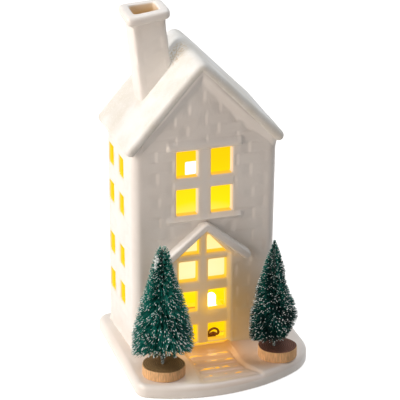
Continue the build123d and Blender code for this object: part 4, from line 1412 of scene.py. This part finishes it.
def makeSlice(low, high, axis, seed):
    # profile of a sawn slice turned round its middle, a little out of round
    turn = np.linspace(0, 2 * np.pi, 144, endpoint=False)
    radius, height = (high[0] - low[0]) / 2, high[2] - low[2]
    e = slices["edge"]
    arc = np.radians(np.linspace(0, 90, 5))
    profile = [(radius * k, 0) for k in (0.12, 0.5, 0.9)]
    profile += [(radius - e + e * math.sin(a), e * 0.6 * (1 - math.cos(a))) for a in arc]
    profile += [(radius, height * k) for k in np.linspace(0.2, 0.8, 6)]
    profile += [(radius - e + e * math.cos(a), height - e + e * math.sin(a)) for a in arc]
    profile += [(radius * k, height) for k in np.linspace(0.92, 0.12, 14)]
    profile = np.array(profile)
    r, z = profile[:, :1], profile[:, 1:]
    wobble = slices["wobble"] * (np.sin(2 * turn + seed) + 0.6 * np.sin(5 * turn + 2 * seed))
    fibre = slices["grain"] * np.sin(turn * 57 + 3 * np.sin(turn * 9 + seed))
    inFull = (r / radius) ** 2
    reach = r + (wobble - slices["wobble"]) * inFull + fibre * (r > 0.97 * radius)
    rings = slices["rings"] * np.sin(reach * 5.5 + 0.8 * np.sin(turn * 2 + seed)) * (z > 0.9 * height)
    grid = np.stack([axis[0] + reach * np.cos(turn), axis[1] + reach * np.sin(turn), low[2] + z + rings], -1)
    return grid, [gridQuads(*grid.shape[:2], wrapCols=True), endFaces(*grid.shape[:2])]


wood = dict(side=(0.84, 0.50, 0.245), sideDark=0.64, sawnDark=0.38, topEdge=(0.35, 0.05), rough=0.62)


def sliceBuild(axis, top, sideTone, sawn):
    # growth rings round the slice's own middle, darker on the sawn top, paler with upright fibres at the side
    def build(s):
        centre = (-axis[0] * mm, -axis[1] * mm, 0.0)
        local = s.node("Mapping", {}, {"Vector": s.place(), "Location": centre})
        bent = s.noise(0.12, 2.0)
        off = s.node("VectorMath", {"operation": "LENGTH"}, {
            0: s.node("VectorMath", {"operation": "MULTIPLY"}, {0: local, 1: (1, 1, 0)})}, 1) * (1 / mm)
        ring = s.node("Math", {"operation": "SINE"}, {0: (off + 2.2 * bent) * 5.2})
        fibre = s.noise(1.0, 4.0, s.stretch((2.4, 2.4, 0.25)))
        saw = s.noise(1.0, 3.0, s.stretch((2.6, 0.35, 1.0)))
        onTop = s.height().ease(top - wood["topEdge"][0], top - wood["topEdge"][1])
        sideShades = np.outer((wood["sideDark"], 1.0), wood["side"]) * sideTone
        topShades = np.outer((wood["sawnDark"], 1.0), sawn)
        sideWood = fibre.ease(0.3, 0.72).mix(*sideShades.tolist())
        topWood = (0.55 * saw + 0.12 * ring + 0.2).ease(0.28, 0.75).mix(*topShades.tolist())
        return {
            "Base Color": onTop.mix(sideWood, topWood),
            "Roughness": wood["rough"] + 0.2 * fibre,
            "Normal": s.bump(onTop * saw + (1 - onTop) * fibre, 0.25, 0.5),
        }
    return build


brushLook = finish("brushFibre", {"Specular IOR Level": 0.35}, brushBuild)
wireLook = finish("stemWire", {"Metallic": 0.85}, wireBuild)
for side, tree in trees.items():
    low, high = span(side + "_tree_bristles")
    stemLow, stemHigh = span(side + "_tree_stem")
    sliceLow, sliceHigh = span(side + "_tree_base")
    axis = ((stemLow + stemHigh) / 2)[:2]
    sliceHigh = sliceHigh + np.array(slices["growHigh"]) * tree["grow"]
    sliceLow = sliceLow - np.array(slices["growLow"]) * tree["grow"]
    sliceAxis = ((sliceLow + sliceHigh) / 2)[:2]
    points, faces, marks = makeBristles(tree, low, high, axis)
    stands = [side + "_tree_bristles"]
    addPiece(side + "TreeBristles", points, faces, brushLook, "brush_green", stands, marks=marks)
    points, faces = makeStem(stemLow, stemHigh, axis)
    addPiece(side + "TreeStem", points, faces, wireLook, "stem_wire", [side + "_tree_stem"])
    woodBuild = sliceBuild(sliceAxis, sliceHigh[2], tree["sideTone"], tree["sawn"])
    woodLook = finish(side + "SliceWood", {"Specular IOR Level": 0.3}, woodBuild)
    points, faces = makeSlice(sliceLow, sliceHigh, sliceAxis, tree["seed"])
    addPiece(side + "TreeSlice", points, faces, woodLook, "wood_slice", [side + "_tree_base"])
print("trees made")


# Battery unit: coiled contact springs, and finishes for the CAD pieces that keep their shape

spring = dict(turns=4.5, wire=0.32, narrow=0.35, steps=150, sides=8)


def makeSpring(low, high, wideRight):
    # a coil that narrows along X, its wide end on the contact plate
    share = np.linspace(0, 1, spring["steps"])
    turn = 2 * np.pi * spring["turns"] * share
    wide = (high[2] - low[2]) / 2 - spring["wire"]
    radius = wide * (1 - spring["narrow"] * share)
    run = spring["wire"] + (high[0] - low[0] - 2 * spring["wire"]) * share
    x = high[0] - run if wideRight else low[0] + run
    middle = (low + high) / 2
    line = np.column_stack([x, middle[1:] + radius[:, None] * circle(turn)])
    return tube(line, spring["wire"], spring["sides"])


lead = dict(radius=0.65, sides=10, steps=8, switchEnd=4.0, lampEnd=4.2)
# turns of the slack lead: from the house's middle, behind the front wall, above the ground
slack = dict(
    across=(14.0, 6.0, 3.2, 2.6, 2.8, 5.0, 9.2, 11.0, 10.6, 8.6, 6.4, 5.0,
            4.7, 6.5, 8.5, 8.9, 7.6, 6.1, 5.0, 3.0, 0.8, 0.3, 0.8, 3.5),
    behind=(15.0, 14.9, 13.5, 11.2, 10.4, 9.9, 9.7, 9.3, 9.2, 9.2, 9.2, 9.2,
            8.8, 8.2, 8.0, 7.9, 7.9, 7.9, 8.1, 9.0, 10.2, 11.2, 12.8, 15.0),
    height=(17.0, 17.0, 17.0, 14.0, 9.6, 8.75, 8.7, 9.4, 11.6, 12.7, 12.0, 10.2,
            8.9, 8.7, 8.9, 10.0, 10.8, 10.2, 9.0, 8.8, 9.4, 13.0, 18.3, 18.5),
)


def makeLead():
    # switch to lamp, through the turns of the slack: a smooth curve, one cubic from each stop to the next
    low, high = span("switch_lead")
    r = lead["radius"]
    over = high[2] - r
    turns = np.column_stack([slack["across"], slack["behind"], slack["height"]]) + [houseX, frontY, 0]
    switchX, switchY = high[0] - r, high[1] - r - lead["switchEnd"]
    lampSide = np.mean(span("led_legs"), 0)
    start = [(switchX, switchY, low[2]), (switchX, switchY, over)]
    end = [(lampSide[0], lampSide[1] - lead["lampEnd"], over)]
    stops = np.concatenate([start, turns, end])
    stops = np.concatenate([2 * stops[:1] - stops[1:2], stops, 2 * stops[-1:] - stops[-2:-1]])
    t = np.linspace(0, 1, lead["steps"], endpoint=False)[:, None]
    runs = []
    for a, b, c, d in zip(stops, stops[1:], stops[2:], stops[3:]):
        square, cube = a - 2.5 * b + 2 * c - 0.5 * d, 1.5 * (b - c) + 0.5 * (d - a)
        runs.append(b + 0.5 * t * (c - a) + t**2 * square + t**3 * cube)
    return tube(np.concatenate(runs + [stops[-2:-1]]), r, lead["sides"])


def metalBuild(s):
    # plated metal, brushed along X
    brushed = s.noise(1.0, 3.0, s.stretch((0.4, 3.0, 3.0)))
    return {
        "Base Color": brushed.ease(0.3, 0.7).mix((0.58, 0.56, 0.52), (0.76, 0.74, 0.70)),
        "Roughness": 0.22 + 0.2 * brushed,
    }


def plasticBuild(light, dark, rough):
    # moulded plastic: slow clouds between two tones, and a fine grain
    def build(s):
        cloud, grain = s.noise(0.08, 2.0), s.noise(4.0, 2.0)
        return {
            "Base Color": cloud.ease(0.3, 0.7).mix(dark, light),
            "Roughness": rough + 0.15 * grain,
            "Normal": s.bump(grain, 0.03, 0.4),
        }
    return build


cellSpace = dict(nodes=("front_cell", "back_cell", "negative_terminal", "link_plate"), room=1.6)
cellSpaceLow = np.min([span(node)[0] for node in cellSpace["nodes"]], 0) - cellSpace["room"]
cellSpaceHigh = np.max([span(node)[1] for node in cellSpace["nodes"]], 0) + cellSpace["room"]
cellSpaceTop = span("front_cell")[1][2] + cellSpace["room"]
tray = dict(
    light=(0.76, 0.74, 0.70), dark=(0.70, 0.68, 0.63), rough=0.42,
    lit=(0.92, 0.60, 0.0), litBase=(0.30, 0.19, 0.01), litFrom=(8.2, 9.2), soft=0.1,
)


def trayBuild(s):
    # pale plastic, with yellow lamplight painted on where it stands up into the room, but not inside the
    # cells' space
    made = plasticBuild(tray["light"], tray["dark"], tray["rough"])(s)
    soft = tray["soft"]
    inside = 1 - s.height().ease(cellSpaceTop - soft, cellSpaceTop)
    for axis in (0, 1):
        low, high = cellSpaceLow[axis], cellSpaceHigh[axis]
        inside = inside * s.coordinate(axis).within((low, low + soft), (high - soft, high))
    lit = s.height().ease(*tray["litFrom"]) * (1 - inside)
    made["Base Color"] = lit.mix(made["Base Color"], tray["litBase"])
    made["Emission Color"] = lit.mix((0, 0, 0), tray["lit"])
    return made


cell = dict(
    sleeve=(0.035, 0.045, 0.055), band=(0.46, 0.24, 0.09), metal=(0.72, 0.71, 0.69),
    bandFrom=(0.765, 0.77), nubFrom=(0.972, 0.974), flatTo=(0.012, 0.014),
)


def cellBuild(start, end, nubRight):
    # plain sleeve with a paler band at the nub's end and bare metal at both ends
    def build(s):
        share = (s.coordinate(0) - start) * (1 / (end - start))
        share = share if nubRight else 1 - share
        bareAndShadow = share.ease(*cell["nubFrom"]) + (1 - share.ease(*cell["flatTo"]))
        scuff = s.noise(0.5, 4.0)
        sleeve = share.ease(*cell["bandFrom"]).mix(cell["sleeve"], cell["band"])
        return {
            "Base Color": bareAndShadow.mix(sleeve, cell["metal"]),
            "Roughness": 0.25 + 0.22 * scuff,
            "Metallic": 0.35 + 0.6 * bareAndShadow,
        }
    return build


dome = dict(warm=(1.0, 0.62, 0.16), hot=(1.0, 0.93, 0.70), blend=3.0, clear=(0.9, 0.8, 0.6, 1), strength=4.0)


def lampBuild(s):
    # clear dome, white-hot at the top and warmer below
    hot = s.height().ease(float(lampLow[2]), float(lampLow[2]) + dome["blend"])
    return {"Emission Color": hot.mix(dome["warm"], dome["hot"])}


metalLook = finish("contactMetal", {"Metallic": 1.0}, metalBuild)
domeFixed = {"Base Color": dome["clear"], "Roughness": 0.1, "Emission Strength": dome["strength"]}
looks = {
    "battery_tray": finish("trayPlastic", {"Emission Strength": 1.0}, trayBuild),
    "led_lamp": finish("lampDome", domeFixed, lampBuild),
}
# name of the finish, light tone, dark tone and roughness
plastics = {
    "battery_lid": ("lidPlastic", (0.72, 0.70, 0.66), (0.66, 0.64, 0.59), 0.40),
    "led_holder": ("holderPlastic", (0.74, 0.70, 0.62), (0.66, 0.62, 0.54), 0.45),
    "switch_body": ("switchPlastic", (0.05, 0.05, 0.052), (0.03, 0.03, 0.032), 0.38),
    "switch_slider": ("sliderPlastic", (0.045, 0.045, 0.047), (0.025, 0.025, 0.027), 0.34),
    "negative_lead": ("blackLead", (0.035, 0.033, 0.032), (0.018, 0.017, 0.016), 0.40),
    "positive_lead": ("redLead", (0.74, 0.34, 0.03), (0.66, 0.27, 0.02), 0.38),
}
for node, (name, *tones) in plastics.items():
    looks[node] = finish(name, {}, plasticBuild(*tones))
for node in ("led_legs", "negative_terminal", "positive_terminal", "link_plate"):
    looks[node] = metalLook
for node, nubRight in (("front_cell", True), ("back_cell", False)):
    start, end = (float(corner[0]) for corner in span(node))
    looks[node] = finish(node.replace("_cell", "Cell"), {}, cellBuild(start, end, nubRight))
for node, look in looks.items():
    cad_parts[node].data.materials.clear()
    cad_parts[node].data.materials.append(look)
for node, wideRight in (("front_contact_spring", False), ("back_contact_spring", True)):
    points, faces = makeSpring(*span(node), wideRight)
    addPiece(node.split("_")[0] + "ContactSpring", points, faces, metalLook, "contact_metal", [node])
# a red lead, painted dark red-brown for the shade it lies in behind the front wall
leadLook = finish("shadedRedLead", {}, plasticBuild((0.30, 0.09, 0.01), (0.13, 0.035, 0.01), 0.38))
addPiece("switchLead", *makeLead(), leadLook, "lead_red", ["switch_lead"])
print("battery unit dressed")


# Studio: floor, light and camera

studio = dict(
    floor=(0.62, 0.60, 0.58), floorLift=0.80, floorHalf=4.0, floorLines=9,
    ambient=(0.475, 0.39, 0.335), ambientStrength=0.30, aim=(-0.02, 0.0, 0.09),
)
lamps = dict(
    key=dict(place=(-1.13, 0.18, 0.82), size=0.32, power=10.6, colour=(1.0, 0.985, 0.965)),
    fill=dict(place=(-1.55, -0.76, 0.48), size=0.9, power=13.8, colour=(1.0, 0.865, 0.755)),
    top=dict(place=(0.42, 0.04, 1.45), size=1.1, power=10.8, colour=(0.84, 0.92, 1.0)),
)
camera = dict(
    place=(-0.59593, -1.93161, 0.95338), yaw=0.297257, pitch=0.402240, roll=0.002353,
    lens=360.0, sensor=36.0, clip=50.0,
)


def seenRays(s):
    # 1 for rays that show the background: straight from the camera, mirrored or through glass
    seen = s.node("LightPath", {}, {}, "Is Camera Ray")
    for name in ("Is Glossy Ray", "Is Transmission Ray"):
        seen = s.sum("MAXIMUM", seen, s.node("LightPath", {}, {}, name))
    return seen


def makeFloor():
    # one wide level grid; to the camera it is white with a soft shadow
    side = np.linspace(-studio["floorHalf"], studio["floorHalf"], studio["floorLines"])
    x, y = np.meshgrid(side, side)
    mesh = bpy.data.meshes.new("studioFloor")
    points = np.stack([x, y, np.zeros_like(x)], -1).reshape(-1, 3)
    mesh.from_pydata(points.tolist(), [], gridQuads(len(side), len(side)).tolist())
    look = bpy.data.materials.new("floorPaper")
    tree = emptyTree(look)
    s = Shade(tree)
    plain = s.node("BsdfDiffuse", {}, {"Color": (*studio["floor"], 1)})
    lift = s.node("Emission", {}, {"Color": (1, 1, 1, 1), "Strength": studio["floorLift"]})
    paper = s.node("AddShader", {}, {0: plain, 1: lift})
    output = tree.nodes.new("ShaderNodeOutputMaterial")
    tree.links.new(s.node("MixShader", {}, {0: seenRays(s), 1: plain, 2: paper}).socket, output.inputs[0])
    mesh.materials.append(look)
    addObject("studioFloor", mesh)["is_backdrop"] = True


def makeWorld():
    # dim warm air that lights the house, shown as plain white
    world = bpy.data.worlds.new("studioAir")
    bpy.context.scene.world = world
    tree = emptyTree(world)
    s = Shade(tree)
    air = s.node("Background", {}, {"Color": (*studio["ambient"], 1), "Strength": studio["ambientStrength"]})
    white = s.node("Background", {}, {"Color": (1, 1, 1, 1), "Strength": 1.0})
    output = tree.nodes.new("ShaderNodeOutputWorld")
    tree.links.new(s.node("MixShader", {}, {0: seenRays(s), 1: air, 2: white}).socket, output.inputs[0])


def stand(holder, place, side, up, back):
    # puts a lamp or camera at a place, its own X, Y and Z along three directions
    turn = Matrix(np.stack([side, up, back], 1).tolist())
    holder.matrix_world = Matrix.LocRotScale(place, turn.to_quaternion(), None)


def makeLamp(name, place, size, power, colour):
    # round soft lamp that looks at the house
    lamp = bpy.data.lights.new(name + "Light", "AREA")
    lamp.shape = "DISK"
    lamp.size = size
    lamp.energy = power
    lamp.color = colour
    back = unit(np.array(place) - np.array(studio["aim"]))
    side = unit(np.cross([0, 0, 1], back))
    stand(addObject(name + "Light", lamp), place, side, np.cross(back, side), back)


def makeCamera():
    # yaw turns from +Y to +X, pitch looks down, roll turns about the line of sight
    lens = bpy.data.cameras.new("photoView")
    lens.lens = camera["lens"]
    lens.sensor_width = camera["sensor"]
    lens.clip_end = camera["clip"]
    holder = addObject("photoView", lens)
    cosY, sinY = math.cos(camera["yaw"]), math.sin(camera["yaw"])
    cosP, sinP = math.cos(camera["pitch"]), math.sin(camera["pitch"])
    ahead = np.array([sinY * cosP, cosY * cosP, -sinP])
    right = np.array([cosY, -sinY, 0.0])
    up = np.cross(right, ahead)
    cosR, sinR = math.cos(camera["roll"]), math.sin(camera["roll"])
    stand(holder, camera["place"], cosR * right + sinR * up, cosR * up - sinR * right, -ahead)
    bpy.context.scene.camera = holder


makeFloor()
makeWorld()
for name, lamp in lamps.items():
    makeLamp(name, **lamp)
makeCamera()
bpy.context.scene.view_settings.view_transform = "Standard"
print("studio ready")

low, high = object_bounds()
